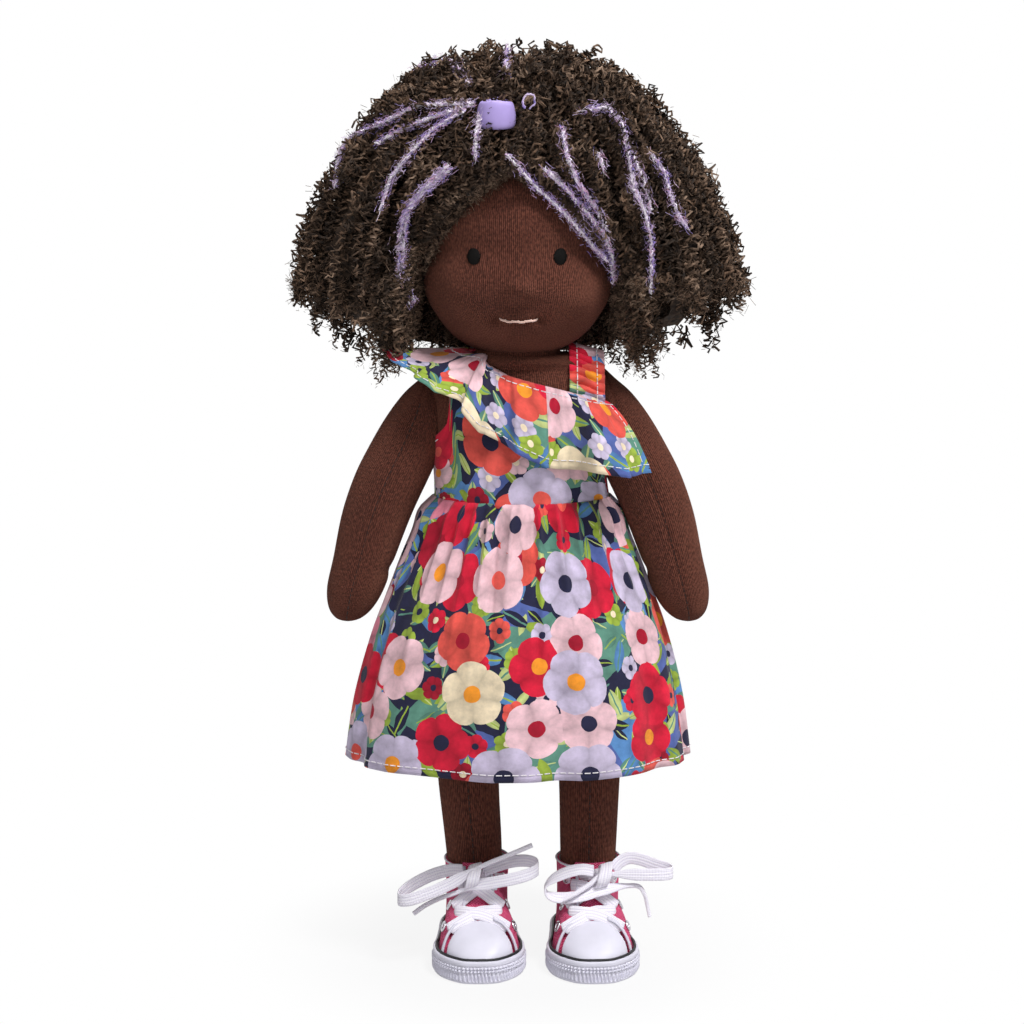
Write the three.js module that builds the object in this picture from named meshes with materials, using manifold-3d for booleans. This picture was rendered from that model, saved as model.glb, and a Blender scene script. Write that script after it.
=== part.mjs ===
// Waldorf doll: a stuffed cloth doll with yarn hair, a one-shoulder dress and laced canvas shoes.
// Millimetres, +Z up. The doll stands on z = 0 and faces -Y, so its own left side is +X.

import * as THREE from "three";
import { mergeVertices } from "three/addons/utils/BufferGeometryUtils.js";
import Module from "manifold-3d";

const wasm = await Module();
wasm.setup();

// Clearances and cloth
const gap = 0.3;
const skinThickness = 1.2;
const clothThickness = 0.9;

// Shoes
const shoeLength = 68;
const shoeWidth = 38;
const heelReach = 23;
const soleThickness = 4;
const foxingHeight = 9.5;
const foxingThickness = 2;
const insoleThickness = 1.4;
const insoleEase = 0.9;
const upperThickness = 1.4;
const tongueThickness = 1.3;
const tongueLap = 2;
const collarHeight = 39;
const collarWidth = 28;
const collarDepth = 28.4;
const collarShift = 1.8;
const instepReach = 14;
const toeHeight = 21;
const toeCapRadius = 19;
const throatWidth = 11;
const eyeletRadius = 2;
const eyeletHole = 1;
const eyeletThickness = 0.7;
const eyeletSpread = 16.4;
const eyeletDrops = [14, 9.6, 3.6];
const throatBelowEyelets = 4;
const laceWidth = 5.2;
const laceThickness = 0.9;
const knotDrop = 0.8;
const knotRadius = 3.4;

// Legs and hips
const hipHeight = 150;
const legSpacing = 47.2;
const hipShift = 6;
const thighWidth = 29;
const thighDepth = 25;
const calfWidth = 25;
const calfDepth = 23.6;
const ankleWidth = 20.4;
const ankleDepth = 18.4;
const ankleBack = 1.4;
const calfRise = 33;
const thighDrop = 37;
const footHeight = 11.2;
const toeRoom = 5;
const heelRoom = 9.6;
const legMouthDepth = 14;
const hipRollRadius = 1.5;
const hipRollLength = 76;

// Torso and neck
const torsoLength = 105;
const hipWidth = 79;
const waistWidth = 69;
const waistDepth = 51;
const shoulderWidth = 75;
const shoulderDepth = 41;
const neckWidth = 40;
const neckDepth = 36;
const neckStemRadius = 11;
const neckBallRadius = 12.4;
const neckThreadRadius = 1;
const neckNodRoom = 2.1;
const neckStemDepth = 9;

// Arms
const shoulderDrop = 21;
const armTopRise = 14;
const armTopReach = 35;
const armHandReach = 70.5;
const upperArmWidth = 31;
const upperArmDepth = 27;
const wristWidth = 24;
const wristDepth = 22;
const armLength = 105;
const armForward = -5;
const armMouthRadius = 6;
const armSeatRadius = 9;

// Head and face
const headWidth = 78;
const headDepth = 78;
const headHeight = 84;
const chinGap = 2.2;
const eyeSpacing = 34.6;
const eyeWidth = 5.6;
const eyeHeight = 7;
const eyeThickness = 1.8;
const eyeLevel = 38;
const noseLevel = 25.6;
const noseWidth = 9;
const mouthWidth = 15.4;
const mouthLevel = 14;
const mouthThread = 1.5;
const smileRise = 1;

// Hair
const wigCapThickness = 1.6;
const hairWidth = 186;
const hairFront = 47;
const hairBack = 66;
const hairAboveHead = 39;
const hairBelowChin = 14;
const faceOpeningDepth = 6;
const partingRise = 3;
const hairChinRise = 5;
const hairNeckRoom = 3;
const hairShoulderRoom = 23;
const hairShoulderSlant = 13;
const tieRadius = 6.5;
const tieThickness = 5.6;
const tieAside = 8;
const tieRise = 11;
const tieTilt = 38;

// Dress
const waistRise = 45;
const skirtLength = 109;
const hemWidth = 146;
const hemDepth = 100;
const skirtFolds = 12;
const skirtFoldDepth = 2.2;
const necklineDrop = 9.8;
const necklineSlope = 0.25;
const armholeRadius = 15;
const strapWidth = 11;
const strapThickness = 1.7;
const strapOffset = 29.5;
const ruffleFrontReach = 9;
const ruffleFrontDrop = 26;
const ruffleShoulderReach = 25;
const ruffleShoulderDrop = 8;
const ruffleEndReach = 19;
const ruffleEndDrop = 28;
const ruffleFolds = 13;
const ruffleFoldDepth = 1.3;
const ruffleArch = 2.2;
const ruffleDrop = 1.2;
const ruffleEnd = 30;

// Places worked out from the sizes above
const torsoTop = hipHeight + torsoLength;
const waistHeight = hipHeight + waistRise;
const necklineHeight = torsoTop - necklineDrop;
const headBase = torsoTop + chinGap;
const headTop = headBase + headHeight;
const hairTop = headTop + hairAboveHead;
const hairBottom = headBase - hairBelowChin;
const shoulderHeight = torsoTop - shoulderDrop;
const armSeat = shoulderWidth / 2 + gap;
const armPlane = armSeat + clothThickness + gap;
const dollShift = (hemDepth / 2 - hairBack) / 2;
const toeReach = shoeLength - heelReach;
const eyeletRowHeights = eyeletDrops.map((drop) => collarHeight - drop);
const knotHeight = collarHeight - knotDrop;
const far = 400;
const leastHalf = 0.02;

const finishes = {
  skin: { color: 0x4b2a20, roughness: 0.95 },
  wool: { color: 0xe9e0d0, roughness: 1 },
  thread: { color: 0x3a211a, roughness: 0.9 },
  eyeThread: { color: 0x17130f, roughness: 0.7 },
  mouthThread: { color: 0xe8b7a6, roughness: 0.8 },
  hair: { color: 0x2e2622, roughness: 1 },
  hairBand: { color: 0xb5a3e0, roughness: 0.8 },
  dress: { color: 0xc9596e, roughness: 0.9 },
  canvas: { color: 0xdb3d6b, roughness: 0.9 },
  rubber: { color: 0xf2f0f8, roughness: 0.55 },
  lace: { color: 0xf4f0fa, roughness: 0.85 },
  metal: { color: 0xc8c8cc, roughness: 0.3, metalness: 1 },
};

const doll = new THREE.Group();
doll.position.y = dollShift;

/** Adds one named piece to a group, from a solid or from a closed geometry. */
function addPiece(group, name, shape, finish) {
  const geometry = shape.isBufferGeometry ? shape : geometryOf(shape);
  geometry.computeVertexNormals();
  const mesh = new THREE.Mesh(geometry, new THREE.MeshStandardMaterial(finishes[finish]));
  mesh.name = name;
  group.add(mesh);
  return mesh;
}

/** A closed geometry as a solid that can be joined and cut. */
function solidOf(geometry) {
  const bare = geometry.clone();
  bare.deleteAttribute("normal");
  bare.deleteAttribute("uv");
  const merged = mergeVertices(bare, 1e-4);
  const vertProperties = merged.attributes.position.array;
  return new wasm.Manifold(new wasm.Mesh({ numProp: 3, vertProperties, triVerts: merged.index.array }));
}

/** The geometry of a solid. */
function geometryOf(solid) {
  const { vertProperties, triVerts } = solid.getMesh();
  const geometry = new THREE.BufferGeometry();
  geometry.setAttribute("position", new THREE.BufferAttribute(Float32Array.from(vertProperties), 3));
  geometry.setIndex(Array.from(triVerts));
  return geometry;
}

/** Turns a closed mesh the right way out, by the sign of its volume. */
function facingOut(points, faces) {
  let volume = 0;
  for (const [a, b, c] of faces) volume += points[a].dot(points[b].clone().cross(points[c]));
  const outward = volume < 0 ? faces.map(([a, b, c]) => [a, c, b]) : faces;
  const geometry = new THREE.BufferGeometry().setFromPoints(points);
  geometry.setIndex(outward.flat());
  return geometry;
}

/** A closed skin over rings of equal count, each end closed about the middle of its ring. */
function loft(rings) {
  const sides = rings[0].length;
  const points = rings.flat();
  const faces = [];
  for (let i = 0; i + 1 < rings.length; i++) {
    for (let k = 0; k < sides; k++) {
      const a = i * sides + k;
      const b = i * sides + ((k + 1) % sides);
      faces.push([a, b, b + sides], [a, b + sides, a + sides]);
    }
  }
  for (const [ring, start, turn] of [
    [rings[0], 0, 1],
    [rings[rings.length - 1], (rings.length - 1) * sides, 0],
  ]) {
    const middle = ring.reduce((sum, p) => sum.add(p), new THREE.Vector3()).divideScalar(sides);
    points.push(middle);
    for (let k = 0; k < sides; k++) {
      const edge = [start + k, start + ((k + 1) % sides)];
      if (turn) edge.reverse();
      faces.push([...edge, points.length - 1]);
    }
  }
  return facingOut(points, faces);
}

/** A closed sheet between an outer and an inner grid of points, joined round its edges. */
function sheet(outer, inner, wraps) {
  const rows = outer.length;
  const columns = outer[0].length;
  const points = [...outer.flat(), ...inner.flat()];
  const faces = [];
  const quad = (a, b, c, d) => faces.push([a, b, c], [a, c, d]);
  const at = (i, j) => (i % rows) * columns + j;
  const behind = (i, j) => rows * columns + at(i, j);
  const spans = wraps ? rows : rows - 1;
  for (let i = 0; i < spans; i++) {
    for (let j = 0; j + 1 < columns; j++) {
      quad(at(i, j), at(i + 1, j), at(i + 1, j + 1), at(i, j + 1));
      quad(behind(i, j), behind(i, j + 1), behind(i + 1, j + 1), behind(i + 1, j));
    }
    const last = columns - 1;
    quad(at(i, 0), behind(i, 0), behind(i + 1, 0), at(i + 1, 0));
    quad(at(i, last), at(i + 1, last), behind(i + 1, last), behind(i, last));
  }
  for (let j = 0; j + 1 < columns && !wraps; j++) {
    const end = rows - 1;
    quad(at(0, j), at(0, j + 1), behind(0, j + 1), behind(0, j));
    quad(at(end, j), behind(end, j), behind(end, j + 1), at(end, j + 1));
  }
  return facingOut(points, faces);
}

/** Sizes of a stuffed form at a share of its stations: height, half width, half depth and middle. */
function sampler(stations) {
  const curve = (pick) => new THREE.CatmullRomCurve3(stations.map(pick), false, "catmullrom", 0.5);
  const sizes = curve(([z, w, d]) => new THREE.Vector3(w, d, z));
  const middles = curve(([, , , x = 0, y = 0]) => new THREE.Vector3(x, y, 0));
  return (share) => {
    const { x: w, y: d, z } = sizes.getPoint(share);
    const middle = middles.getPoint(share);
    return { z, w: Math.max(w, 0), d: Math.max(d, 0), x: middle.x, y: middle.y };
  };
}

/** A stuffed form of level oval rings through its stations, swelled all over by an amount. */
function stuffed(stations, swell = 0, sides = 18) {
  const sample = sampler(stations);
  const count = stations.length - 1;
  const lowest = stations[0][0] - swell;
  const highest = stations[stations.length - 1][0] + swell;
  const rings = [];
  for (let i = 0; i <= count; i++) {
    const { z, w, d, x, y } = sample(i / count);
    const height = i === 0 ? lowest : i === count ? highest : THREE.MathUtils.clamp(z, lowest, highest);
    const [wide, deep] = [w, d].map((half) => Math.max(half + swell, leastHalf));
    const ring = [];
    for (let k = 0; k < sides; k++) {
      const turn = (2 * Math.PI * k) / sides;
      ring.push(new THREE.Vector3(x + wide * Math.cos(turn), y + deep * Math.sin(turn), height));
    }
    rings.push(ring);
  }
  return solidOf(loft(rings));
}

/** A block between two corners. */
function block(low, high) {
  const size = new THREE.Vector3(...high).sub(new THREE.Vector3(...low));
  const geometry = new THREE.BoxGeometry(size.x, size.y, size.z);
  geometry.translate(low[0] + size.x / 2, low[1] + size.y / 2, low[2] + size.z / 2);
  return solidOf(geometry);
}

/** A ball stretched to three half sizes and set at a point. */
function ball(middle, halves, across = 14, down = 8) {
  const geometry = new THREE.SphereGeometry(1, across, down);
  geometry.rotateX(Math.PI / 2);
  geometry.scale(...halves);
  geometry.translate(...middle);
  return solidOf(geometry);
}

/** A turned solid about the Z axis, from [radius, height] pairs that start and end on the axis. */
function turned(profile, sides = 16) {
  const geometry = new THREE.LatheGeometry(profile.map(([r, z]) => new THREE.Vector2(r, z)), sides);
  geometry.rotateX(Math.PI / 2);
  const flat = mergeVertices(stripped(geometry), 1e-4);
  return solidOf(closedFaces(flat));
}

/** A geometry with its places only. */
function stripped(geometry) {
  geometry.deleteAttribute("normal");
  geometry.deleteAttribute("uv");
  return geometry;
}

/** Drops the faces that fold to nothing on the axis and turns the rest out. */
function closedFaces(geometry) {
  const place = geometry.attributes.position;
  const points = [];
  for (let i = 0; i < place.count; i++) points.push(new THREE.Vector3().fromBufferAttribute(place, i));
  const faces = [];
  for (let i = 0; i < geometry.index.count; i += 3) {
    const face = [0, 1, 2].map((k) => geometry.index.getX(i + k));
    if (new Set(face).size === 3) faces.push(face);
  }
  return facingOut(points, faces);
}

/** A level outline raised between two heights. */
function raised(outline, low, high) {
  const shape = new THREE.Shape(outline);
  const geometry = new THREE.ExtrudeGeometry(shape, { depth: high - low, bevelEnabled: false });
  geometry.translate(0, 0, low);
  return solidOf(geometry);
}

/** A wedge about the Z axis between two angles in degrees, drawn back by half a gap at each side. */
function sector(from, to, low, high) {
  const [a, b] = [THREE.MathUtils.degToRad(from), THREE.MathUtils.degToRad(to)];
  const middle = (a + b) / 2;
  const back = gap / 2 / Math.sin((b - a) / 2);
  const tip = new THREE.Vector2(back * Math.cos(middle), back * Math.sin(middle));
  const reach = (angle) => new THREE.Vector2(tip.x + far * Math.cos(angle), tip.y + far * Math.sin(angle));
  return raised([tip, reach(a), reach(middle), reach(b)], low, high);
}

/** Everything above a plane that falls towards +X, the line of the neckline. */
function aboveNeckline(lift) {
  const edge = (x) => necklineHeight + lift - necklineSlope * x;
  const outline = [
    new THREE.Vector2(-far, edge(-far)),
    new THREE.Vector2(far, edge(far)),
    new THREE.Vector2(far, far * 2),
    new THREE.Vector2(-far, far * 2),
  ];
  return solidOf(upright(new THREE.Shape(outline), -far, far));
}

/** A shape drawn in X and Z, run through from one Y to another. */
function upright(shape, front, back) {
  const geometry = new THREE.ExtrudeGeometry(shape, {
    depth: back - front,
    bevelEnabled: false,
    curveSegments: 3,
  });
  geometry.rotateX(Math.PI / 2);
  geometry.translate(0, back, 0);
  return geometry;
}

/** A flat lace through points, with the direction of its width at each point. */
function ribbon(points, widths, width, thickness, steps) {
  const path = new THREE.CatmullRomCurve3(points, false, "centripetal");
  const spread = new THREE.CatmullRomCurve3(widths, false, "catmullrom", 0.5);
  const rings = [];
  for (let i = 0; i <= steps; i++) {
    const share = i / steps;
    const middle = path.getPoint(share);
    const along = path.getTangent(share);
    const across = spread.getPoint(share);
    across.addScaledVector(along, -across.dot(along)).normalize();
    const out = along.clone().cross(across);
    const corner = (u, v) =>
      middle.clone().addScaledVector(across, (u * width) / 2).addScaledVector(out, (v * thickness) / 2);
    rings.push([corner(1, -1), corner(1, 1), corner(-1, 1), corner(-1, -1)]);
  }
  return loft(rings);
}

/** Finds where a level line from in front meets a solid, with the surface direction there. */
function frontOf(mesh, x, z) {
  const ray = new THREE.Raycaster(new THREE.Vector3(x, -far, z), new THREE.Vector3(0, 1, 0));
  const [hit] = ray.intersectObject(mesh);
  return { point: hit.point, normal: hit.face.normal.clone() };
}

/** A mesh for measuring only. */
function probe(solid) {
  const mesh = new THREE.Mesh(geometryOf(solid));
  mesh.updateMatrixWorld();
  return mesh;
}

// Torso: the rings run from the sewn hip seam to the neck.
const hipSeat = hipHeight + hipRollRadius + gap;
const hipRise = waistHeight - hipSeat;
const torsoStations = [
  [hipSeat, hipWidth * 0.455, waistDepth * 0.025, hipShift],
  [hipSeat + hipRise * 0.125, hipWidth * 0.48, waistDepth * 0.125, hipShift],
  [hipSeat + hipRise * 0.31, hipWidth * 0.5, waistDepth * 0.278, hipShift * 0.93],
  [hipSeat + hipRise * 0.59, hipWidth * 0.488, waistDepth * 0.431, hipShift * 0.7],
  [waistHeight - waistRise * 0.044, waistWidth * 0.507, waistDepth * 0.49, hipShift * 0.3],
  [waistHeight + waistRise * 0.333, waistWidth * 0.5, waistDepth * 0.5, hipShift * 0.1],
  [shoulderHeight - shoulderDrop * 0.43, shoulderWidth * 0.485, waistDepth * 0.47, 0],
  [shoulderHeight + shoulderDrop * 0.095, shoulderWidth * 0.5, shoulderDepth * 0.5, 0],
  [shoulderHeight + shoulderDrop * 0.43, shoulderWidth * 0.493, shoulderDepth * 0.45, 0],
  [torsoTop - shoulderDrop * 0.314, shoulderWidth * 0.455, shoulderDepth * 0.4, 0],
  [torsoTop - shoulderDrop * 0.157, neckWidth * 0.7, neckDepth * 0.54, 0],
  [torsoTop - shoulderDrop * 0.048, neckWidth * 0.52, neckDepth * 0.52, 0],
  [torsoTop, neckWidth * 0.47, neckDepth * 0.49, 0],
];
const torsoForm = (swell, sides) => stuffed(torsoStations, swell, sides);

// Neck: a wool stem whose round foot sits in the torso and lets the head nod.
const neckBallHeight = torsoTop - neckBallRadius * 0.72;
const neckStemTop = headBase + neckStemDepth;
const ringLevel = torsoTop + neckThreadRadius + gap;
const stemProfile = (swell) => {
  const radius = neckBallRadius + swell;
  const shoulder = Math.acos((neckStemRadius + swell) / radius);
  const arc = [];
  for (let k = 0; k <= 5; k++) {
    const tilt = -Math.PI / 2 + (k / 5) * (Math.PI / 2 + shoulder);
    arc.push([k === 0 ? 0 : radius * Math.cos(tilt), neckBallHeight + radius * Math.sin(tilt)]);
  }
  return [...arc, [neckStemRadius + swell, neckStemTop + swell], [0, neckStemTop + swell]];
};
const neckOpening = turned([
  [0, neckBallHeight],
  [neckStemRadius + neckNodRoom, neckBallHeight],
  [neckStemRadius + neckThreadRadius * 2 + gap + neckNodRoom, torsoTop],
  [neckStemRadius + neckThreadRadius * 2 + gap + neckNodRoom, headBase + gap],
  [0, headBase + gap],
]);

const torsoShell = torsoForm(0).subtract(torsoForm(-skinThickness, 10)).subtract(neckOpening);
addPiece(doll, "torso_skin", torsoShell, "skin");
const torsoFill = torsoForm(-skinThickness - gap, 10);
addPiece(
  doll,
  "torso_stuffing",
  torsoFill.subtract(turned(stemProfile(gap))).subtract(neckOpening),
  "wool",
);
addPiece(doll, "neck_stem", turned(stemProfile(0)), "wool");
const neckRing = new THREE.TorusGeometry(neckStemRadius + neckThreadRadius + gap, neckThreadRadius, 5, 14);
neckRing.translate(0, 0, ringLevel);
addPiece(doll, "neck_tie", solidOf(neckRing), "thread");

// Hip seam: the rolled seam that the legs hinge on.
const hipRoll = new THREE.CylinderGeometry(hipRollRadius, hipRollRadius, hipRollLength, 10);
hipRoll.rotateZ(Math.PI / 2);
hipRoll.translate(hipShift, 0, hipHeight);
addPiece(doll, "hip_seam_roll", solidOf(hipRoll), "thread");

// Head: a firm wool ball under tight knit, fullest at the cheeks.
const headShares = [
  [0, 0.2],
  [0.025, 0.42],
  [0.07, 0.62],
  [0.14, 0.8],
  [0.23, 0.94],
  [0.34, 1],
  [0.54, 0.975],
  [0.7, 0.89],
  [0.83, 0.74],
  [0.93, 0.5],
  [0.98, 0.27],
  [1, 0],
];
const headStations = headShares.map(([rise, share]) => [
  headBase + rise * headHeight,
  (share * headWidth) / 2,
  (share * headDepth) / 2,
]);
const headForm = (swell, sides) => stuffed(headStations, swell, sides);
const headProbe = probe(headForm(0));
const noseSeat = frontOf(headProbe, 0, headBase + noseLevel).point;
const noseMiddle = [0, noseSeat.y + noseWidth * 0.09, noseSeat.z];
const nose = ball(noseMiddle, [noseWidth / 2, noseWidth * 0.27, noseWidth * 0.4], 10, 6);
const headHole = turned([
  [0, torsoTop],
  [neckStemRadius + gap, torsoTop],
  [neckStemRadius + gap, neckStemTop + gap],
  [0, neckStemTop + gap],
]);
const headShell = headForm(0).add(nose).subtract(headForm(-skinThickness, 10)).subtract(headHole);
addPiece(doll, "head_skin", headShell, "skin");
addPiece(doll, "head_wool_core", headForm(-skinThickness - gap, 10).subtract(headHole), "wool");

// Eyes and mouth: raised stitching laid on the face.
for (const [side, sign] of [["left", 1], ["right", -1]]) {
  const { point, normal } = frontOf(headProbe, (sign * eyeSpacing) / 2, headBase + eyeLevel);
  const eye = new THREE.SphereGeometry(1, 10, 5).scale(eyeWidth / 2, eyeHeight / 2, eyeThickness / 2);
  const turn = new THREE.Matrix4().lookAt(normal, new THREE.Vector3(), new THREE.Vector3(0, 0, 1));
  eye.applyMatrix4(turn).translate(...point.addScaledVector(normal, eyeThickness / 2 + gap * 1.2).toArray());
  addPiece(doll, `${side}_eye`, solidOf(eye), "eyeThread");
}
const mouthPoints = [-1, -0.6, -0.2, 0.2, 0.6, 1].map((share) => {
  const height = headBase + mouthLevel + smileRise * share ** 2;
  const { point, normal } = frontOf(headProbe, (share * mouthWidth) / 2, height);
  return point.addScaledVector(normal, mouthThread / 2 + gap * 1.4);
});
const threadSection = new THREE.Shape();
threadSection.absarc(0, 0, mouthThread / 2, 0, 2 * Math.PI);
const mouth = new THREE.ExtrudeGeometry(threadSection, {
  steps: 8,
  curveSegments: 3,
  extrudePath: new THREE.CatmullRomCurve3(mouthPoints),
});
addPiece(doll, "mouth_stitch", solidOf(mouth), "mouthThread");

// Hair: one mass of yarn over a knitted cap, open at the face and parted into locks.
const hairShares = [
  [0, 0.05, -0.8, 0.7],
  [0.025, 0.32, -0.55, 0.88],
  [0.066, 0.6, 0.11, 0.95],
  [0.124, 0.78, 0.57, 0.98],
  [0.197, 0.92, 0.87, 1],
  [0.307, 1, 0.98, 1],
  [0.416, 0.968, 1, 1],
  [0.547, 0.88, 1, 0.955],
  [0.679, 0.763, 0.94, 0.85],
  [0.796, 0.613, 0.81, 0.73],
  [0.883, 0.46, 0.64, 0.58],
  [0.949, 0.3, 0.43, 0.4],
  [0.985, 0.16, 0.19, 0.22],
  [1, 0, -0.05, 0.05],
];
const hairStations = hairShares.map(([rise, side, front, back]) => [
  hairBottom + rise * (hairTop - hairBottom),
  (side * hairWidth) / 2,
  (front * hairFront + back * hairBack) / 2,
  0,
  (back * hairBack - front * hairFront) / 2,
]);
const faceEdge = [
  [-1.05, 0.24],
  [-0.97, 0.36],
  [-0.82, 0.51],
  [-0.51, 0.69],
  [-0.06, 0.82],
  [0.28, 0.74],
  [0.74, 0.55],
  [0.95, 0.39],
  [1.03, 0.23],
].map(([x, z]) => new THREE.Vector2((x * headWidth) / 2, headBase + z * headHeight));
const faceShape = new THREE.Shape();
faceShape.moveTo(-headWidth * 0.56, headBase - hairBelowChin * 3);
faceShape.lineTo(-headWidth * 0.56, headBase + headHeight * 0.06);
faceShape.splineThru(faceEdge);
faceShape.lineTo(headWidth * 0.56, headBase + headHeight * 0.06);
faceShape.lineTo(headWidth * 0.56, headBase - hairBelowChin * 3);
const faceOpening = solidOf(upright(faceShape, -far, -faceOpeningDepth));

// Room for the shoulders as the head turns: round under the head, and wider to both sides.
const hairClear = headBase + hairChinRise;
const roundRoom = (radius, slant) =>
  turned([
    [0, hairBottom - far / 4],
    [radius, hairBottom - far / 4],
    [radius, hairClear - slant],
    [radius - slant, hairClear],
    [0, hairClear],
  ]);
const sideRoom = roundRoom(armPlane + hairShoulderRoom, hairShoulderSlant);
const shoulderRoom = roundRoom(headWidth / 2 + hairNeckRoom, hairNeckRoom)
  .add(sideRoom.intersect(sector(-55, 55, 0, far * 2)))
  .add(sideRoom.intersect(sector(125, 235, 0, far * 2)));

const capOut = gap + wigCapThickness;
const wigCap = headForm(capOut).subtract(headForm(gap)).subtract(faceOpening).subtract(shoulderRoom);
addPiece(doll, "wig_cap", wigCap, "hair");

const tieMiddle = new THREE.Vector3(-tieAside, -hairFront * 0.66, headTop + tieRise);
const tie = (swell) => {
  const geometry = new THREE.TorusGeometry(tieRadius, tieThickness / 2 + swell, 7, 12);
  geometry.rotateX(THREE.MathUtils.degToRad(tieTilt));
  return solidOf(geometry.translate(...tieMiddle.toArray()));
};
addPiece(doll, "hair_tie", tie(0), "hairBand");

const hairMass = stuffed(hairStations, 0, 22)
  .subtract(headForm(capOut + gap))
  .subtract(faceOpening)
  .subtract(shoulderRoom)
  .subtract(tie(gap));
const partingHeight = headTop + partingRise;
const hairLocks = {
  hair_fringe_left: [-90, -20],
  hair_side_left: [-20, 50],
  hair_back: [50, 130],
  hair_side_right: [130, 200],
  hair_fringe_right: [200, 270],
};
for (const [name, [from, to]] of Object.entries(hairLocks)) {
  addPiece(doll, name, hairMass.intersect(sector(from, to, 0, partingHeight - gap)), "hair");
}
const aboveParting = block([-far, -far, partingHeight], [far, far, far * 2]);
addPiece(doll, "hair_top", hairMass.intersect(aboveParting), "hair");

// Dress bodice and strap: cloth laid over the torso, cut at the neckline and the armholes.
const bodiceOut = gap + clothThickness;
const bodiceShell = torsoForm(bodiceOut).subtract(torsoForm(gap));
const armhole = new THREE.CylinderGeometry(armholeRadius, armholeRadius, far, 16);
armhole.rotateZ(Math.PI / 2);
armhole.translate(0, 0, shoulderHeight);
const armholes = solidOf(armhole).subtract(
  block([-shoulderWidth * 0.34, -far, 0], [shoulderWidth * 0.34, far, far * 2]),
);
const bodice = bodiceShell
  .subtract(block([-far, -far, 0], [far, far, waistHeight]))
  .subtract(aboveNeckline(0))
  .subtract(armholes);
addPiece(doll, "dress_bodice", bodice, "dress");
const strap = torsoForm(gap + strapThickness)
  .subtract(torsoForm(gap))
  .intersect(block([strapOffset - strapWidth / 2, -far, 0], [strapOffset + strapWidth / 2, far, far * 2]))
  .intersect(aboveNeckline(gap));
addPiece(doll, "dress_strap", strap, "dress");

/** The oval of the torso at a height, as half width, half depth and middle. */
const torsoSample = sampler(torsoStations);
function torsoAt(height) {
  let [low, high] = [0, 1];
  for (let i = 0; i < 40; i++) {
    const middle = (low + high) / 2;
    if (torsoSample(middle).z < height) low = middle;
    else high = middle;
  }
  return torsoSample(low);
}

// Skirt: gathered at the waist and hanging in soft folds to the hem.
const waistOval = torsoAt(waistHeight);
const waistHalfWidth = waistOval.w + bodiceOut;
const waistHalfDepth = waistOval.d + bodiceOut;
const skirtFlare = [
  [0, 0, 0.1],
  [0.09, 0.14, 0.45],
  [0.27, 0.4, 0.7],
  [0.5, 0.68, 0.8],
  [0.76, 0.89, 0.95],
  [1, 1, 1],
];
const skirtSteps = skirtFolds * 4;
function skirtGrid(swell) {
  const grid = [];
  for (let i = 0; i < skirtSteps; i++) {
    const turn = (2 * Math.PI * i) / skirtSteps;
    const column = skirtFlare.map(([fall, flare, fold]) => {
      const wave = skirtFoldDepth * fold * Math.cos(skirtFolds * turn) + swell;
      const w = THREE.MathUtils.lerp(waistHalfWidth, hemWidth / 2 - skirtFoldDepth, flare) + wave;
      const d = THREE.MathUtils.lerp(waistHalfDepth, hemDepth / 2 - skirtFoldDepth, flare) + wave;
      const x = THREE.MathUtils.lerp(waistOval.x, 0, flare);
      const z = waistHeight - gap - fall * (skirtLength - gap);
      return new THREE.Vector3(x + w * Math.cos(turn), d * Math.sin(turn), z);
    });
    grid.push(column);
  }
  return grid;
}
addPiece(doll, "dress_skirt", solidOf(sheet(skirtGrid(0), skirtGrid(-clothThickness), true)), "dress");

/** The room that the whole skirt takes, grown all round. */
function skirtRoom(swell) {
  const grid = skirtGrid(swell);
  return solidOf(loft(grid[0].map((_, j) => grid.map((column) => column[j]))));
}

// Ruffle: one gathered strip from the left armpit, over the right shoulder and round the back.
const ruffleSteps = ruffleFolds * 3;
const ruffleIn = bodiceOut + gap;
function necklinePoint(turn, out, lift) {
  let [low, high] = [waistHeight, torsoTop];
  let place = new THREE.Vector3();
  for (let i = 0; i < 40; i++) {
    const middle = (low + high) / 2;
    const { w, d, x } = torsoAt(middle);
    place = new THREE.Vector3(x + (w + out) * Math.cos(turn), (d + out) * Math.sin(turn), middle);
    if (middle < necklineHeight + lift - necklineSlope * place.x) low = middle;
    else high = middle;
  }
  return place;
}
function ruffleGrid(out) {
  const grid = [];
  for (let i = 0; i <= ruffleSteps; i++) {
    const turn = THREE.MathUtils.degToRad(-ruffleEnd - ((360 - 2 * ruffleEnd) * i) / ruffleSteps);
    const top = necklinePoint(turn, ruffleIn + out, -ruffleDrop);
    const onShoulder = Math.max(0, -Math.cos(turn)) ** 2;
    const atEnd = Math.max(0, Math.cos(turn)) ** 2;
    const share = (front, shoulder, end) => front + (shoulder - front) * onShoulder + (end - front) * atEnd;
    const reach = share(ruffleFrontReach, ruffleShoulderReach, ruffleEndReach);
    const drop = share(ruffleFrontDrop, ruffleShoulderDrop, ruffleEndDrop);
    const wave = ruffleFoldDepth * Math.cos((2 * Math.PI * ruffleFolds * i) / ruffleSteps);
    const column = [0, 0.35, 0.7, 1].map((fall) => {
      const arch = Math.sin(Math.PI * fall) * ruffleArch;
      const spread = reach * fall + wave * fall + arch;
      const fallen = new THREE.Vector3(Math.cos(turn) * spread, Math.sin(turn) * spread, -drop * fall);
      return fallen.add(top);
    });
    grid.push(column);
  }
  return grid;
}
addPiece(doll, "dress_ruffle", solidOf(sheet(ruffleGrid(clothThickness), ruffleGrid(0), false)), "dress");

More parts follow.
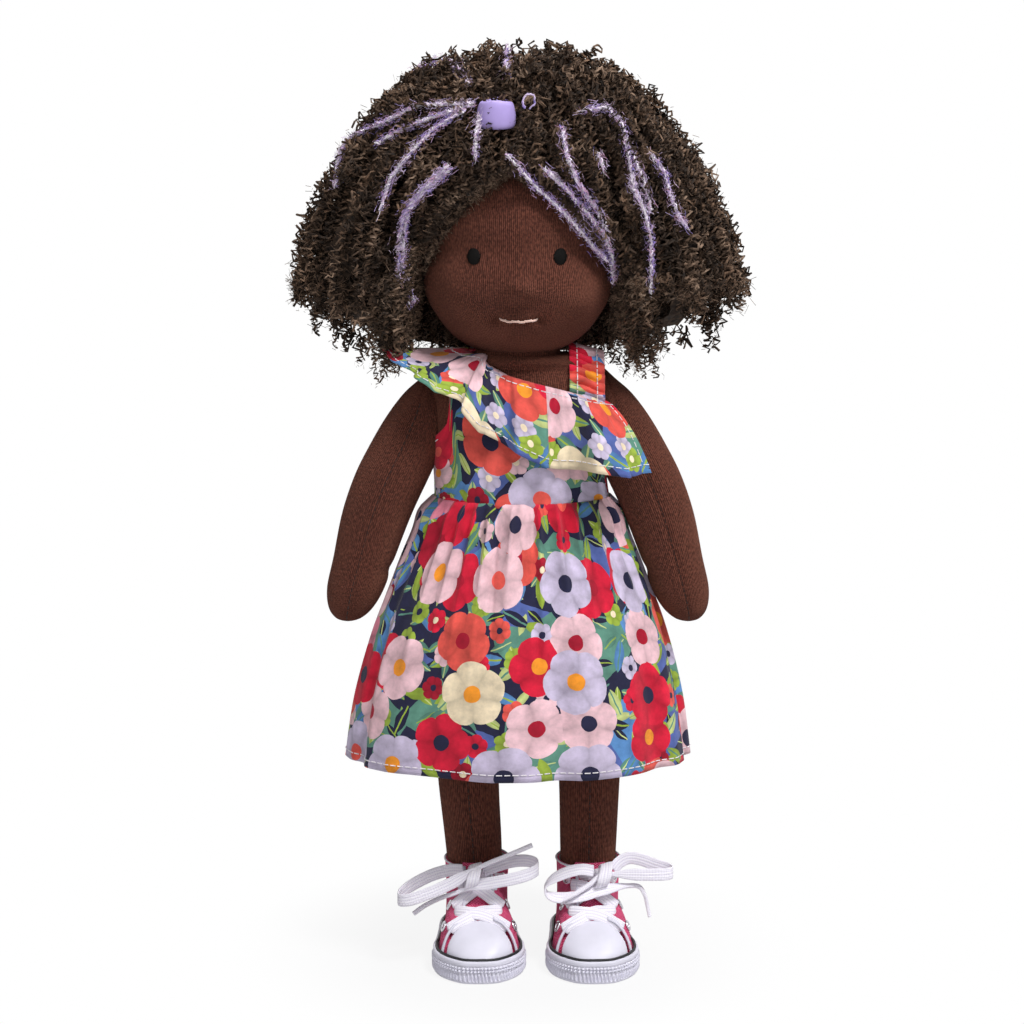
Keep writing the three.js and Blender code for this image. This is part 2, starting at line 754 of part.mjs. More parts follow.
// Arms: one stuffed form each, with a round seat where it is sewn to the shoulder.
const armTop = shoulderHeight + armTopRise;
const armShares = [
  [1, 0.02, 0.02, 1],
  [0.985, 0.35, 0.36, 0.99],
  [0.94, 0.62, 0.64, 0.96],
  [0.86, 0.79, 0.8, 0.9],
  [0.74, 0.84, 0.86, 0.8],
  [0.57, 0.94, 0.95, 0.65],
  [0.42, 1, 1, 0.47],
  [0.3, 0.98, 0.99, 0.3],
  [0.19, 0.86, 0.9, 0.16],
  [0.1, 0.58, 0.66, 0.08],
  [0.04, 0.24, 0.3, 0.03],
  [0, 0.02, 0.02, 0],
];
function addArm(side, sign) {
  const stations = armShares.map(([fall, width, depth, out]) => {
    const taper = THREE.MathUtils.smoothstep(fall, 0.42, 0.86);
    const w = (width * THREE.MathUtils.lerp(upperArmWidth, wristWidth / 0.79, taper)) / 2;
    const d = (depth * THREE.MathUtils.lerp(upperArmDepth, wristDepth / 0.8, taper)) / 2;
    const reach = sign * THREE.MathUtils.lerp(armTopReach, armHandReach, out);
    return [armTop - fall * armLength, w, d, reach, armForward * fall];
  });
  const form = (swell, sides) => stuffed(stations, swell, sides);
  const beyond = (x) => {
    const ends = [sign * x, sign * far];
    return block([Math.min(...ends), -far, 0], [Math.max(...ends), far, far * 2]);
  };
  const shoulderPlug = (radius) => {
    const plug = new THREE.CylinderGeometry(radius, radius, 2 * (armPlane + skinThickness + gap), 12);
    return solidOf(plug.rotateZ(Math.PI / 2).translate(0, 0, shoulderHeight));
  };
  const seat = shoulderPlug(armSeatRadius)
    .intersect(beyond(armSeat))
    .subtract(beyond(armPlane + skinThickness / 2));
  const skin = form(0, 14)
    .intersect(beyond(armPlane))
    .add(seat)
    .subtract(skirtRoom(gap))
    .subtract(form(-skinThickness, 10).intersect(beyond(armPlane + skinThickness)))
    .subtract(shoulderPlug(armMouthRadius));
  const fill = form(-skinThickness - gap, 10)
    .intersect(beyond(armPlane + skinThickness + gap))
    .subtract(skirtRoom(gap * 2));
  addPiece(doll, `${side}_arm_skin`, skin, "skin");
  addPiece(doll, `${side}_arm_stuffing`, fill, "wool");
}
addArm("left", 1);
addArm("right", -1);

// Shoe shapes, about the leg's own axis: a foot box run from heel to toe and an upright ankle tube.
const shoeBase = soleThickness + gap;
const upperHalfWidth = shoeWidth / 2 - foxingThickness - gap;
const upperToe = -toeReach + foxingThickness + gap;
const upperHeel = heelReach - foxingThickness - gap;
const footCurve = new THREE.CatmullRomCurve3(
  [
    [0, 0.3, 0.62],
    [0.04, 0.56, 0.8],
    [0.14, 0.78, 1.2],
    [0.36, 0.86, 1.66],
    [0.5, 0.91, 1.69],
    [0.58, 0.95, 1.48],
    [0.66, 1, 1.28],
    [0.78, 0.98, 1],
    [0.88, 0.83, 0.8],
    [0.96, 0.56, 0.6],
    [1, 0.28, 0.46],
  ].map((row) => new THREE.Vector3(...row)),
);
const footShares = footCurve.getPoints(12).map((p) => p.toArray());
const alongShoe = (share, swell) => THREE.MathUtils.lerp(upperHeel + swell, upperToe - swell, share);

/** The level outline of the foot box, grown all round. */
function shoeOutline(swell) {
  const half = footShares.map(([share, width]) => [width * upperHalfWidth + swell, alongShoe(share, swell)]);
  const right = half.map(([w, y]) => new THREE.Vector2(w, y));
  const left = half.map(([w, y]) => new THREE.Vector2(-w, y)).reverse();
  return [...right, ...left];
}

/** The foot box and ankle tube as one solid, grown all round, between two heights. */
function shoeForm(swell, base, top) {
  const sides = 8;
  const sections = footShares.map(([share, width, height]) => {
    const w = width * upperHalfWidth + swell;
    const roof = height * toeHeight + swell;
    const section = [];
    for (let k = 0; k <= sides; k++) {
      const turn = (Math.PI * k) / sides;
      const across = Math.sign(Math.cos(turn)) * Math.abs(Math.cos(turn)) ** 0.8;
      const rise = Math.sin(turn) ** 0.8;
      section.push(new THREE.Vector3(w * across, alongShoe(share, swell), base + (roof - base) * rise));
    }
    return section;
  });
  const heelDepth = (upperHeel + instepReach) / 2;
  const heelMiddle = (upperHeel - instepReach) / 2;
  const upperDepth = (heelDepth + collarDepth / 2) / 2;
  const ankle = stuffed(
    [
      [base + swell, upperHalfWidth * 0.8, heelDepth * 0.88, 0, upperHeel - heelDepth * 0.88],
      [collarHeight * 0.5, collarWidth * 0.5, heelDepth * 0.97, 0, heelMiddle],
      [collarHeight * 0.8, collarWidth * 0.49, upperDepth * 0.96, 0, (heelMiddle + collarShift) / 2],
      [top - swell, collarWidth * 0.5, collarDepth * 0.5, 0, collarShift],
    ],
    swell,
    14,
  );
  return solidOf(loft(sections)).add(ankle);
}

const shoeOut = shoeForm(0, shoeBase, collarHeight);
const shoeProbe = probe(shoeOut);
const shoeShell = shoeOut.subtract(shoeForm(-upperThickness, shoeBase - 3, collarHeight + 3));
const toeRound = (radius) => {
  const outline = new THREE.Shape().absarc(0, -toeReach, radius, 0, 2 * Math.PI);
  return raised(outline.getPoints(24).slice(0, -1), 0, far);
};
const throatLow = eyeletRowHeights[0] - throatBelowEyelets;
const throatRoom = (widen) => {
  const half = throatWidth / 2 + widen;
  return block([-half, -far, throatLow - widen], [half, -1, far]);
};
const tongueOut = upperThickness + gap;
const tongueShell = shoeForm(-tongueOut, shoeBase - 3, collarHeight + 2).subtract(
  shoeForm(-tongueOut - tongueThickness, shoeBase - 4, collarHeight + 6),
);

/** A shape turned about an eyelet's axis, set on the upper's surface and facing out. */
function turnedOnUpper(x, z, profile) {
  const outline = profile.map(([r, rise]) => new THREE.Vector2(r, rise));
  const turned = mergeVertices(stripped(new THREE.LatheGeometry(outline, 7)), 1e-4);
  const { point, normal } = frontOf(shoeProbe, x, z);
  const turn = new THREE.Quaternion().setFromUnitVectors(new THREE.Vector3(0, 1, 0), normal);
  turned.applyQuaternion(turn).translate(...point.addScaledVector(normal, gap * 1.2).toArray());
  return solidOf(closedFaces(turned));
}
const eyelet = (x, z) =>
  turnedOnUpper(x, z, [
    [eyeletHole, 0],
    [eyeletRadius, 0],
    [eyeletRadius, eyeletThickness],
    [eyeletHole, eyeletThickness],
    [eyeletHole, 0],
  ]);
const eyeletRoom = (x, z) =>
  turnedOnUpper(x, z, [
    [0, -gap],
    [eyeletRadius + gap, -gap],
    [eyeletRadius + gap, eyeletThickness + gap],
    [0, eyeletThickness + gap],
  ]);

// Laces lie this far off the upper, just clear of the eyelets.
const laceRise = eyeletThickness + gap * 4 + laceThickness / 2;
const knotSeat = (x) => {
  const { point, normal } = frontOf(shoeProbe, x, knotHeight);
  return point.addScaledVector(normal, knotRadius + laceRise);
};

/** One stretch of lace across the throat, from eyelet to eyelet, lifted over the one it crosses. */
function laceBar([fromX, fromZ], [toX, toZ], lift) {
  const points = [];
  const widths = [];
  const along = new THREE.Vector3(toX - fromX, 0, toZ - fromZ).normalize();
  for (let i = 0; i <= 6; i++) {
    const share = i / 6;
    const x = THREE.MathUtils.lerp(fromX, toX, share);
    const z = THREE.MathUtils.lerp(fromZ, toZ, share);
    const { point, normal } = frontOf(shoeProbe, x, z);
    points.push(point.addScaledVector(normal, laceRise + lift * Math.sin(Math.PI * share)));
    widths.push(normal.clone().cross(along));
  }
  return solidOf(ribbon(points, widths, laceWidth, laceThickness, 3));
}

/** The laced stretch: a bar at the toe, crossings up the throat, and the knot at the top. */
function lacing(knotX) {
  const half = eyeletSpread / 2;
  const over = laceThickness + gap * 2;
  const hole = (sign, row) => [sign * half, eyeletRowHeights[row]];
  let lace = laceBar(hole(-1, 0), hole(1, 0), 0);
  for (let row = 0; row + 1 < eyeletRowHeights.length; row++) {
    lace = lace.add(laceBar(hole(-1, row), hole(1, row + 1), 0));
    lace = lace.add(laceBar(hole(1, row), hole(-1, row + 1), over));
  }
  const knot = knotSeat(knotX);
  const knotBack = knot.clone().add(new THREE.Vector3(0, knotRadius / 2, 0));
  for (const sign of [-1, 1]) {
    const { point, normal } = frontOf(shoeProbe, ...hole(sign, eyeletRowHeights.length - 1));
    const start = point.addScaledVector(normal, laceRise);
    const across = normal.clone().cross(knotBack.clone().sub(start).normalize());
    lace = lace.add(solidOf(ribbon([start, knotBack], [across, across], laceWidth, laceThickness, 1)));
  }
  const knotBall = ball(knot.toArray(), [knotRadius * 1.05, knotRadius, knotRadius], 8, 5);
  lace = lace.add(knotBall).subtract(shoeForm(gap, shoeBase, collarHeight));
  for (const height of eyeletRowHeights) {
    for (const sign of [-1, 1]) lace = lace.subtract(eyeletRoom(sign * half, height));
  }
  return lace;
}

// Bows: each free end is a loop and a tail, as [x, y, z, roll] from the knot, the roll in degrees.
const bows = {
  right: {
    knotX: -1,
    outer: [
      [-4.1, -0.6, 1.6, 85], [-10, 0.4, 1.4, 85], [-18, 1.6, -1.4, 85], [-26, 0.6, -5.4, 85],
      [-30.4, -3, -8.2, 85], [-30.4, -7.2, -9, 85], [-26, -9.8, -8, 85], [-18, -9.8, -5.2, 85],
      [-10, -8.2, -2, 85], [-4.5, -6.8, 0.8, 80], [0, -6, 3.2, 70], [6, -4.6, 5.8, 60],
      [13, -4.2, 8.6, 60], [19, -4.2, 11.2, 60], [24.5, -4, 13.6, 60],
    ],
    inner: [
      [4.1, -0.6, 1.4, 85], [9, 0.4, 3, 85], [16, 1.4, 4.8, 85], [22, 0.8, 5.4, 85],
      [26, -2, 5, 85], [26.4, -5.8, 3.6, 85], [22, -8.4, 2, 85], [15, -8.6, 0.2, 85],
      [8, -7.6, -1.4, 85], [3, -6.4, -2.8, 75], [-2, -5.8, -4.4, 65], [-8, -5.4, -6.8, 60],
      [-14, -5.2, -9, 60], [-20, -5.4, -12, 60], [-24.7, -5.6, -15.4, 60],
    ],
  },
  left: {
    knotX: 3.5,
    outer: [
      [4, 0.2, 1.4, 80], [7, 1.6, 4.4, 80], [11, 2, 6, 85], [16, 1.4, 5.4, 85],
      [21, 0.4, 3.8, 85], [26.4, -1.4, 2.6, 85], [28.4, -4.2, 2, 85], [26, -6.8, 1.8, 85],
      [18, -7.6, 1.8, 85], [10, -7.2, 1.8, 85], [4, -6.4, 1.6, 80], [-1.5, -6, 0.8, 70],
      [-6, -7.2, -2.6, 50], [-12, -9, -6, 50], [-17, -9.8, -8.4, 50],
    ],
    inner: [
      [-3.9, -1, 1.2, 60], [-9, -2.4, 2.4, 50], [-15, -3, 1.4, 50], [-21, -4, -1.2, 30],
      [-24.2, -4.4, -4.4, 0], [-22.8, -5.4, -7.6, 20], [-17, -6.4, -8.6, 50], [-9, -7.2, -7.4, 50],
      [-3, -6.6, -5.6, 55], [3, -6.2, -4.4, 55], [9, -5.8, -3.6, 50], [14.4, -5.2, -4, 30],
      [17, -5, -7.6, 10], [18.2, -4.8, -12.4, 0], [19.2, -5.4, -17, 0],
    ],
  },
};

/** One free end of a lace, from its route about the knot. */
function laceEnd(route, knot) {
  const points = route.map(([x, y, z]) => new THREE.Vector3(x, y, z).add(knot));
  const widths = route.map(([, , , roll]) => {
    const tilt = THREE.MathUtils.degToRad(roll);
    return new THREE.Vector3(0, Math.cos(tilt), Math.sin(tilt));
  });
  return solidOf(ribbon(points, widths, laceWidth, laceThickness, 26));
}

// Legs: stuffed down into the shoe, and flat at the top where the hip seam is sewn.
const footFloor = shoeBase + insoleThickness + gap;
const hipFold = hipHeight - hipRollRadius - gap;
const calfHeight = collarHeight + calfRise;
const thighHeight = hipHeight - thighDrop;
const legStations = [
  [footFloor, ankleWidth * 0.3, ankleDepth * 0.3, 0, ankleBack],
  [footFloor + footHeight * 0.22, ankleWidth * 0.42, ankleDepth * 0.42, 0, ankleBack],
  [footFloor + footHeight * 0.8, ankleWidth * 0.49, ankleDepth * 0.49, 0, ankleBack],
  [collarHeight, ankleWidth * 0.5, ankleDepth * 0.5, 0, ankleBack],
  [calfHeight, calfWidth * 0.5, calfDepth * 0.5],
  [thighHeight, thighWidth * 0.5, thighDepth * 0.5],
  [hipFold - thighDrop * 0.46, thighWidth * 0.497, thighDepth * 0.4],
  [hipFold - thighDrop * 0.19, thighWidth * 0.47, thighDepth * 0.2],
  [hipFold, thighWidth * 0.42, skinThickness],
];
const footToe = upperToe + upperThickness + toeRoom;
const footHalfWidth = upperHalfWidth - upperThickness - toeRoom;
const footHalfHeight = footHeight / 2;
const footLength = upperHeel - upperThickness - heelRoom - footToe;
const legForm = (swell, sides) =>
  stuffed(legStations, swell, sides).add(
    ball(
      [0, footToe + footLength / 2, footFloor + footHalfHeight],
      [footHalfWidth + swell, footLength / 2 + swell, footHalfHeight + swell],
      sides,
      5,
    ),
  );
const legMouth = block(
  [-thighWidth * 0.25, -skinThickness / 2, hipFold - legMouthDepth],
  [thighWidth * 0.25, skinThickness / 2, hipHeight],
);
const legSkin = legForm(0, 12).subtract(legForm(-skinThickness, 8)).subtract(legMouth);
const legFill = legForm(-skinThickness - gap, 8);

/** One leg with its shoe, standing on its own axis. */
function addLeg(side, sign) {
  const leg = new THREE.Group();
  leg.position.x = hipShift + (sign * legSpacing) / 2;
  doll.add(leg);
  addPiece(leg, `${side}_leg_skin`, legSkin, "skin");
  addPiece(leg, `${side}_leg_stuffing`, legFill, "wool");
  const sole = raised(shoeOutline(gap + foxingThickness), 0, foxingHeight).subtract(
    raised(shoeOutline(gap), soleThickness, foxingHeight + 1),
  );
  addPiece(leg, `${side}_shoe_sole`, sole, "rubber");
  const insole = raised(shoeOutline(-upperThickness - insoleEase), shoeBase, shoeBase + insoleThickness);
  addPiece(leg, `${side}_shoe_insole`, insole, "lace");
  const upper = shoeShell.subtract(toeRound(toeCapRadius + gap)).subtract(throatRoom(0));
  addPiece(leg, `${side}_shoe_upper`, upper, "canvas");
  addPiece(leg, `${side}_shoe_toe_cap`, shoeShell.intersect(toeRound(toeCapRadius)), "rubber");
  addPiece(leg, `${side}_shoe_tongue`, tongueShell.intersect(throatRoom(tongueLap)), "canvas");
  const { knotX, outer, inner } = bows[side];
  addPiece(leg, `${side}_lace`, lacing(knotX), "lace");
  addPiece(leg, `${side}_lace_end_outer`, laceEnd(outer, knotSeat(knotX)), "lace");
  addPiece(leg, `${side}_lace_end_inner`, laceEnd(inner, knotSeat(knotX)), "lace");
  eyeletRowHeights.forEach((height, row) => {
    for (const edge of [-1, 1]) {
      const name = `${side}_eyelet_${row + 1}_${edge * sign > 0 ? "outer" : "inner"}`;
      addPiece(leg, name, eyelet((edge * eyeletSpread) / 2, height), "metal");
    }
  });
}
addLeg("left", 1);
addLeg("right", -1);

export default doll;
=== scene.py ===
"""Looks of a stuffed cloth doll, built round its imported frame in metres, +Z up, facing -Y."""

import logging
import math
from abc import ABC, abstractmethod
from dataclasses import dataclass, field
from enum import Enum
from functools import cached_property, partial
from typing import Callable, Iterable, Sequence

import bmesh
import bpy
import numpy as np
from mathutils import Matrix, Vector
from mathutils.bvhtree import BVHTree


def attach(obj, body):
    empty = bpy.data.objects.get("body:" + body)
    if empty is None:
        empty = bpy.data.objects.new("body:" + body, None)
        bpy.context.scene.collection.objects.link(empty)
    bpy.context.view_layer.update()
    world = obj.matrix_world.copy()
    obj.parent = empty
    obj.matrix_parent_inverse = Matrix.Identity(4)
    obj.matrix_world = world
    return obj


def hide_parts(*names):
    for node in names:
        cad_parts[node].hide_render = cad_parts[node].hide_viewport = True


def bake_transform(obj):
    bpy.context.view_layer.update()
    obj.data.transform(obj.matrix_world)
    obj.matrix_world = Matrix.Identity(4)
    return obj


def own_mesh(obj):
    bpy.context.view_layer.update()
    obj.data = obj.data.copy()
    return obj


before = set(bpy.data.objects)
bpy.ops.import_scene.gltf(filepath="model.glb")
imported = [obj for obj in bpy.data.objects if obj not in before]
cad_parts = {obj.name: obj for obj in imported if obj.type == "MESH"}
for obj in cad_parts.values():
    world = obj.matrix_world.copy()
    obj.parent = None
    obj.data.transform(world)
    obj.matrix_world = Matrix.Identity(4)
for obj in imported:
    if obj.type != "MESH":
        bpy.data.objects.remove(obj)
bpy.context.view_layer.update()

log = logging.getLogger("doll")

MM = 0.001
DOLL_Y = -8.0  # the doll's own axis stands this far forward of the frame's origin
FULL_TURN = 2 * math.pi
SIDES = {"left": 1, "right": -1}
LEG_AXES = {"left": 29.6, "right": -17.6}
TRACK_SAMPLES = 400
WHITE = "#FFFFFF"

Row = tuple[float, ...]
Place = Callable[[float, float], Vector]
Socket = bpy.types.NodeSocket
Value = Socket | float


class Hue(str, Enum):
    """Colours judged, as sRGB hex."""

    SKIN_DEEP = "#3F221B"
    SKIN = "#724235"
    SKIN_BLOOM = "#A9705A"
    YARN_DARK = "#1C1613"
    YARN_BROWN = "#43352B"
    YARN_LIGHT = "#735A48"
    YARN_HIGHLIGHT = "#97806E"
    VIOLET = "#7F70B8"
    LILAC = "#B49CD2"
    ROSE = "#CF9FB8"
    PALE = "#E8D6EA"
    BAND = "#B3A0DE"
    EYE = "#0B0908"
    LIP = "#F6D2C4"
    SEAM = "#2B1611"
    NAVY = "#23233F"
    RED = "#D91E3C"
    CRIMSON = "#A8152F"
    PINK = "#E88BA0"
    BLUSH = "#F2C8D0"
    CREAM = "#F6E3C2"
    ORANGE = "#F0962C"
    CORAL = "#E85A4F"
    MAUVE = "#CFC3DD"
    LIME = "#9DB544"
    SAGE = "#C9D48A"
    TEAL = "#5E8F7E"
    BLUE = "#5B8CC4"
    PERIWINKLE = "#5566A6"
    THREAD = "#F3EEF2"
    CANVAS = "#D02E64"
    CANVAS_HIGHLIGHT = "#FA7CA4"
    RUBBER = "#DEDCEA"
    STRIPE = "#17171B"
    LACE = "#F7F4FC"
    LACE_SHADE = "#E2DCEC"
    NICKEL = "#C6C6CC"


def linear(hue: str) -> tuple[float, float, float, float]:
    """An sRGB hex colour in linear light, with full alpha."""
    parts = [int(hue[i : i + 2], 16) / 255 for i in (1, 3, 5)]
    return (*(p / 12.92 if p <= 0.04045 else ((p + 0.055) / 1.055) ** 2.4 for p in parts), 1.0)


def at(x: float, y: float, z: float) -> Vector:
    """A place in the doll's own millimetres as a point of the frame."""
    return Vector((x, y + DOLL_Y, z)) * MM


def mix(low: float, high: float, share: float) -> float:
    """The value at a share of the way from low to high."""
    return low + (high - low) * share


def ease(value: float, low: float, high: float) -> float:
    """A smooth step from 0 at low to 1 at high."""
    share = min(max((value - low) / (high - low), 0.0), 1.0)
    return share * share * (3 - 2 * share)


def hill(value: float, middle: float, width: float) -> float:
    """A smooth hill of height 1 about a middle."""
    return math.exp(-(((value - middle) / width) ** 2))


def rounded(value: float, power: float) -> float:
    """A sine or cosine bent towards a squarer outline, with its sign kept."""
    return math.copysign(abs(value) ** power, value)


def run_along(points: np.ndarray) -> np.ndarray:
    """How far along a line each of its points lies."""
    return np.concatenate([[0], np.cumsum(np.linalg.norm(np.diff(points, axis=0), axis=1))])


def sampled(points: np.ndarray, run: np.ndarray, spots: np.ndarray) -> np.ndarray:
    """Points of a line at some spots along it, where run says how far along its own points lie."""
    return np.column_stack([np.interp(spots, run, column) for column in points.T])


@dataclass(frozen=True)
class Track:
    """Rows of sizes that a form passes through smoothly."""

    rows: tuple[Row, ...]

    def at(self, share: float) -> Row:
        """The row at a share of the way through, on a Catmull-Rom curve.

        Args:
            share: 0 at the first row, 1 at the last, each span counting the same.

        Returns:
            The values of that row.
        """
        spans = len(self.rows) - 1
        place = min(max(share, 0.0), 1.0) * spans
        i = min(int(place), spans - 1)
        t = place - i
        before, low = self.rows[max(i - 1, 0)], self.rows[i]
        high, after = self.rows[i + 1], self.rows[min(i + 2, spans)]
        return tuple(
            0.5 * (2 * b + (c - a) * t + (2 * a - 5 * b + 4 * c - d) * t**2 + (3 * b - a - 3 * c + d) * t**3)
            for a, b, c, d in zip(before, low, high, after)
        )

    @cached_property
    def table(self) -> np.ndarray:
        """Many rows along the curve, in the order of the first value."""
        rows = np.array([self.at(i / TRACK_SAMPLES) for i in range(TRACK_SAMPLES + 1)])
        return rows[np.argsort(rows[:, 0], kind="stable")]

    def by_first(self, key: float) -> list[float]:
        """The other values where the first one equals a key."""
        return [float(np.interp(key, self.table[:, 0], column)) for column in self.table[:, 1:].T]


@dataclass(frozen=True)
class Shader:
    """A node tree being laid, with short calls for the nodes that recur."""

    tree: bpy.types.NodeTree

    @classmethod
    def of(cls, owner: bpy.types.Material | bpy.types.World) -> "Shader":
        """The emptied node tree of a material or a world."""
        owner.use_nodes = True
        owner.node_tree.nodes.clear()
        return cls(owner.node_tree)

    def add(
        self, kind: str, inputs: dict | None = None, output: int | str = 0, **settings: object
    ) -> Socket | None:
        """Adds one shader node, sets it and wires it.

        Args:
            kind: The node's type without its ShaderNode prefix.
            inputs: Sockets, values or sRGB hex colours by input name or number.
            output: The output to hand back.
            **settings: Properties of the node.

        Returns:
            The chosen output socket, or None for a node that ends the tree.
        """
        node = self.tree.nodes.new("ShaderNode" + kind)
        for key, value in settings.items():
            setattr(node, key, value)
        for key, value in (inputs or {}).items():
            if isinstance(value, Socket):
                self.tree.links.new(value, node.inputs[key])
            else:
                node.inputs[key].default_value = linear(value) if isinstance(value, str) else value
        return node.outputs[output] if node.outputs else None

    def math(self, operation: str, *values: Value, **settings: object) -> Socket:
        """One operation on numbers."""
        return self.add("Math", dict(enumerate(values)), operation=operation, **settings)

    def scaled(self, value: Socket, factor: float, plus: Value, **settings: object) -> Socket:
        """A value times a factor, plus another value."""
        return self.math("MULTIPLY_ADD", value, factor, plus, **settings)

    def remap(self, value: Socket, *limits: float, **settings: object) -> Socket:
        """A value moved from one range, given first, to another, which is 0 to 1 if not given."""
        return self.add("MapRange", dict(enumerate((value, *limits))), **settings)

    def blend(self, share: Value, low: Socket | str, high: Socket | str, **settings: object) -> Socket:
        """A colour at a share of the way between two."""
        return self.add("Mix", {0: share, 6: low, 7: high}, 2, data_type="RGBA", **settings)

    def shade(self, colour: Socket | str, factor: Socket) -> Socket:
        """A colour made darker or lighter by a factor."""
        return self.blend(1.0, colour, factor, blend_type="MULTIPLY")

    def noise(
        self, place: Socket, size: float, detail: float, output: int | str = 0, **more: float
    ) -> Socket:
        """Noise with features of a size in millimetres."""
        inputs = {"Vector": place, "Scale": 1 / (size * MM), "Detail": detail, **more}
        return self.add("TexNoise", inputs, output)

    def wave(self, place: Socket, pitch: float) -> Socket:
        """A sine of a pitch in millimetres along a coordinate."""
        return self.math("SINE", self.math("MULTIPLY", place, FULL_TURN / (pitch * MM)))

    def cloth(self) -> tuple[Socket, Socket, Socket]:
        """The cloth's own coordinates: whole, across it and along it."""
        whole = self.add("UVMap", uv_map="cloth")
        across, along, _ = self.add("SeparateXYZ", {0: whole}).node.outputs
        return whole, across, along

    def place(self) -> Socket:
        """Coordinates in the frame."""
        return self.add("TexCoord", output="Object")

    def relief(self, height: Socket, strength: float, depth: float) -> Socket:
        """A bump of a depth in millimetres."""
        return self.add("Bump", {"Strength": strength, "Distance": depth * MM, "Height": height})

    def surface(self, colour: Socket | str, roughness: Value, specular: float, **more: object) -> Socket:
        """The principled shader. Further inputs are named with an underscore for each space."""
        inputs = {"Base Color": colour, "Roughness": roughness, "Specular IOR Level": specular}
        inputs |= {key.replace("_", " ").title(): value for key, value in more.items()}
        return self.add("BsdfPrincipled", inputs)


@dataclass(frozen=True)
class Finish(ABC):
    """What a piece is made of, as a procedural material."""

    name: str

    def material(self) -> bpy.types.Material:
        """The material, made once and then shared."""
        known = bpy.data.materials.get(self.name)
        if known:
            return known
        made = bpy.data.materials.new(self.name)
        shader = Shader.of(made)
        shader.add("OutputMaterial", {"Surface": self.surface(shader)})
        return made

    @abstractmethod
    def surface(self, shader: Shader) -> Socket:
        """Lays the nodes and hands back the shader's output."""


@dataclass(frozen=True)
class JerseyKnit(Finish):
    """Brushed cotton jersey: fine ribs down the piece, a soft bloom at the edges and no shine."""

    rib: float = 0.85
    course: float = 1.15

    def surface(self, shader: Shader) -> Socket:
        """Ribs and courses on the cloth's own coordinates, over slow mottling, with the raised ribs, courses
        and flecks painted lighter and their hollows darker as painted light and shade.
        """
        cloth, across, along = shader.cloth()
        ribs = shader.wave(across, self.rib)
        lean = shader.math("MULTIPLY", ribs, 1.3)
        courses = shader.math("SINE", shader.scaled(along, FULL_TURN / (self.course * MM), lean))
        weave = shader.scaled(courses, 0.22, ribs)
        fleck = shader.noise(cloth, 0.9, 3.0)
        mottle = shader.scaled(shader.noise(cloth, 16, 2.0), 0.7, -1.8)
        # Partly painted light and shade: the colour follows the ribs and flecks that make the bump, lighter
        # on crests and darker in hollows. The mottling is the yarn's own uneven tone.
        tone = shader.scaled(weave, 0.38, shader.scaled(fleck, 3.7, mottle), use_clamp=True)
        colour = shader.blend(tone, Hue.SKIN_DEEP, Hue.SKIN)
        relief = shader.relief(shader.scaled(fleck, 1.2, weave), 0.75, 0.34)
        return shader.surface(colour, 0.92, 0.15, sheen_weight=0.35, sheen_roughness=0.5,
                              sheen_tint=Hue.SKIN_BLOOM, normal=relief)


@dataclass(frozen=True)
class Yarn(Finish):
    """Bouclé or mohair yarn: matt, flecked along its length, paler in random flecks, which on the brown yarns
    are painted highlights.
    """

    deep: str = Hue.YARN_DARK
    tone: str = Hue.YARN_BROWN
    light: str = Hue.YARN_LIGHT
    fleck: float = 2.4
    bloom: float = 0.25

    def surface(self, shader: Shader) -> Socket:
        """Three tones in flecks of some millimetres."""
        place = shader.place()
        share = shader.remap(shader.noise(place, self.fleck, 3.0), 0.36, 0.64)
        wide = shader.remap(shader.noise(place, 17, 1.0), 0.38, 0.66)
        base = shader.blend(share, self.deep, self.tone)
        # The palest tone in random flecks: a painted highlight on the brown yarns, the mohair's own pale
        # colour on the mohair.
        colour = shader.blend(shader.math("MULTIPLY", share, wide), base, self.light)
        return shader.surface(colour, 0.85, 0.2, sheen_weight=self.bloom, sheen_roughness=0.4,
                              sheen_tint=self.light)


@dataclass(frozen=True)
class Thread(Finish):
    """Sewing or embroidery thread: twisted, with a faint silky light."""

    tone: str = Hue.THREAD
    gloss: float = 0.55
    bloom: float = 0.15
    shine: float = 0.25

    def surface(self, shader: Shader) -> Socket:
        """One colour, painted lighter on the raised parts of its twist and darker in its hollows, as painted
        light and shade.
        """
        twist = shader.noise(shader.place(), 0.7, 2.0)
        # Painted light and shade: the noise that raises the bump also lightens the colour there and darkens
        # it in the hollows.
        colour = shader.shade(self.tone, shader.remap(twist, 0.3, 0.7, 0.72, 1.0))
        return shader.surface(colour, self.gloss, self.shine, sheen_weight=self.bloom,
                              normal=shader.relief(twist, 0.4, 0.15))


@dataclass(frozen=True)
class Motif:
    """One scatter of blossoms or leaves of the print, with its sizes in millimetres."""

    cell: float
    reach: float
    petals: int
    hues: tuple[str, ...]
    hearts: tuple[str, ...]
    shift: tuple[float, float, float]
    spread: float = 0.6
    notch: float = 0.66


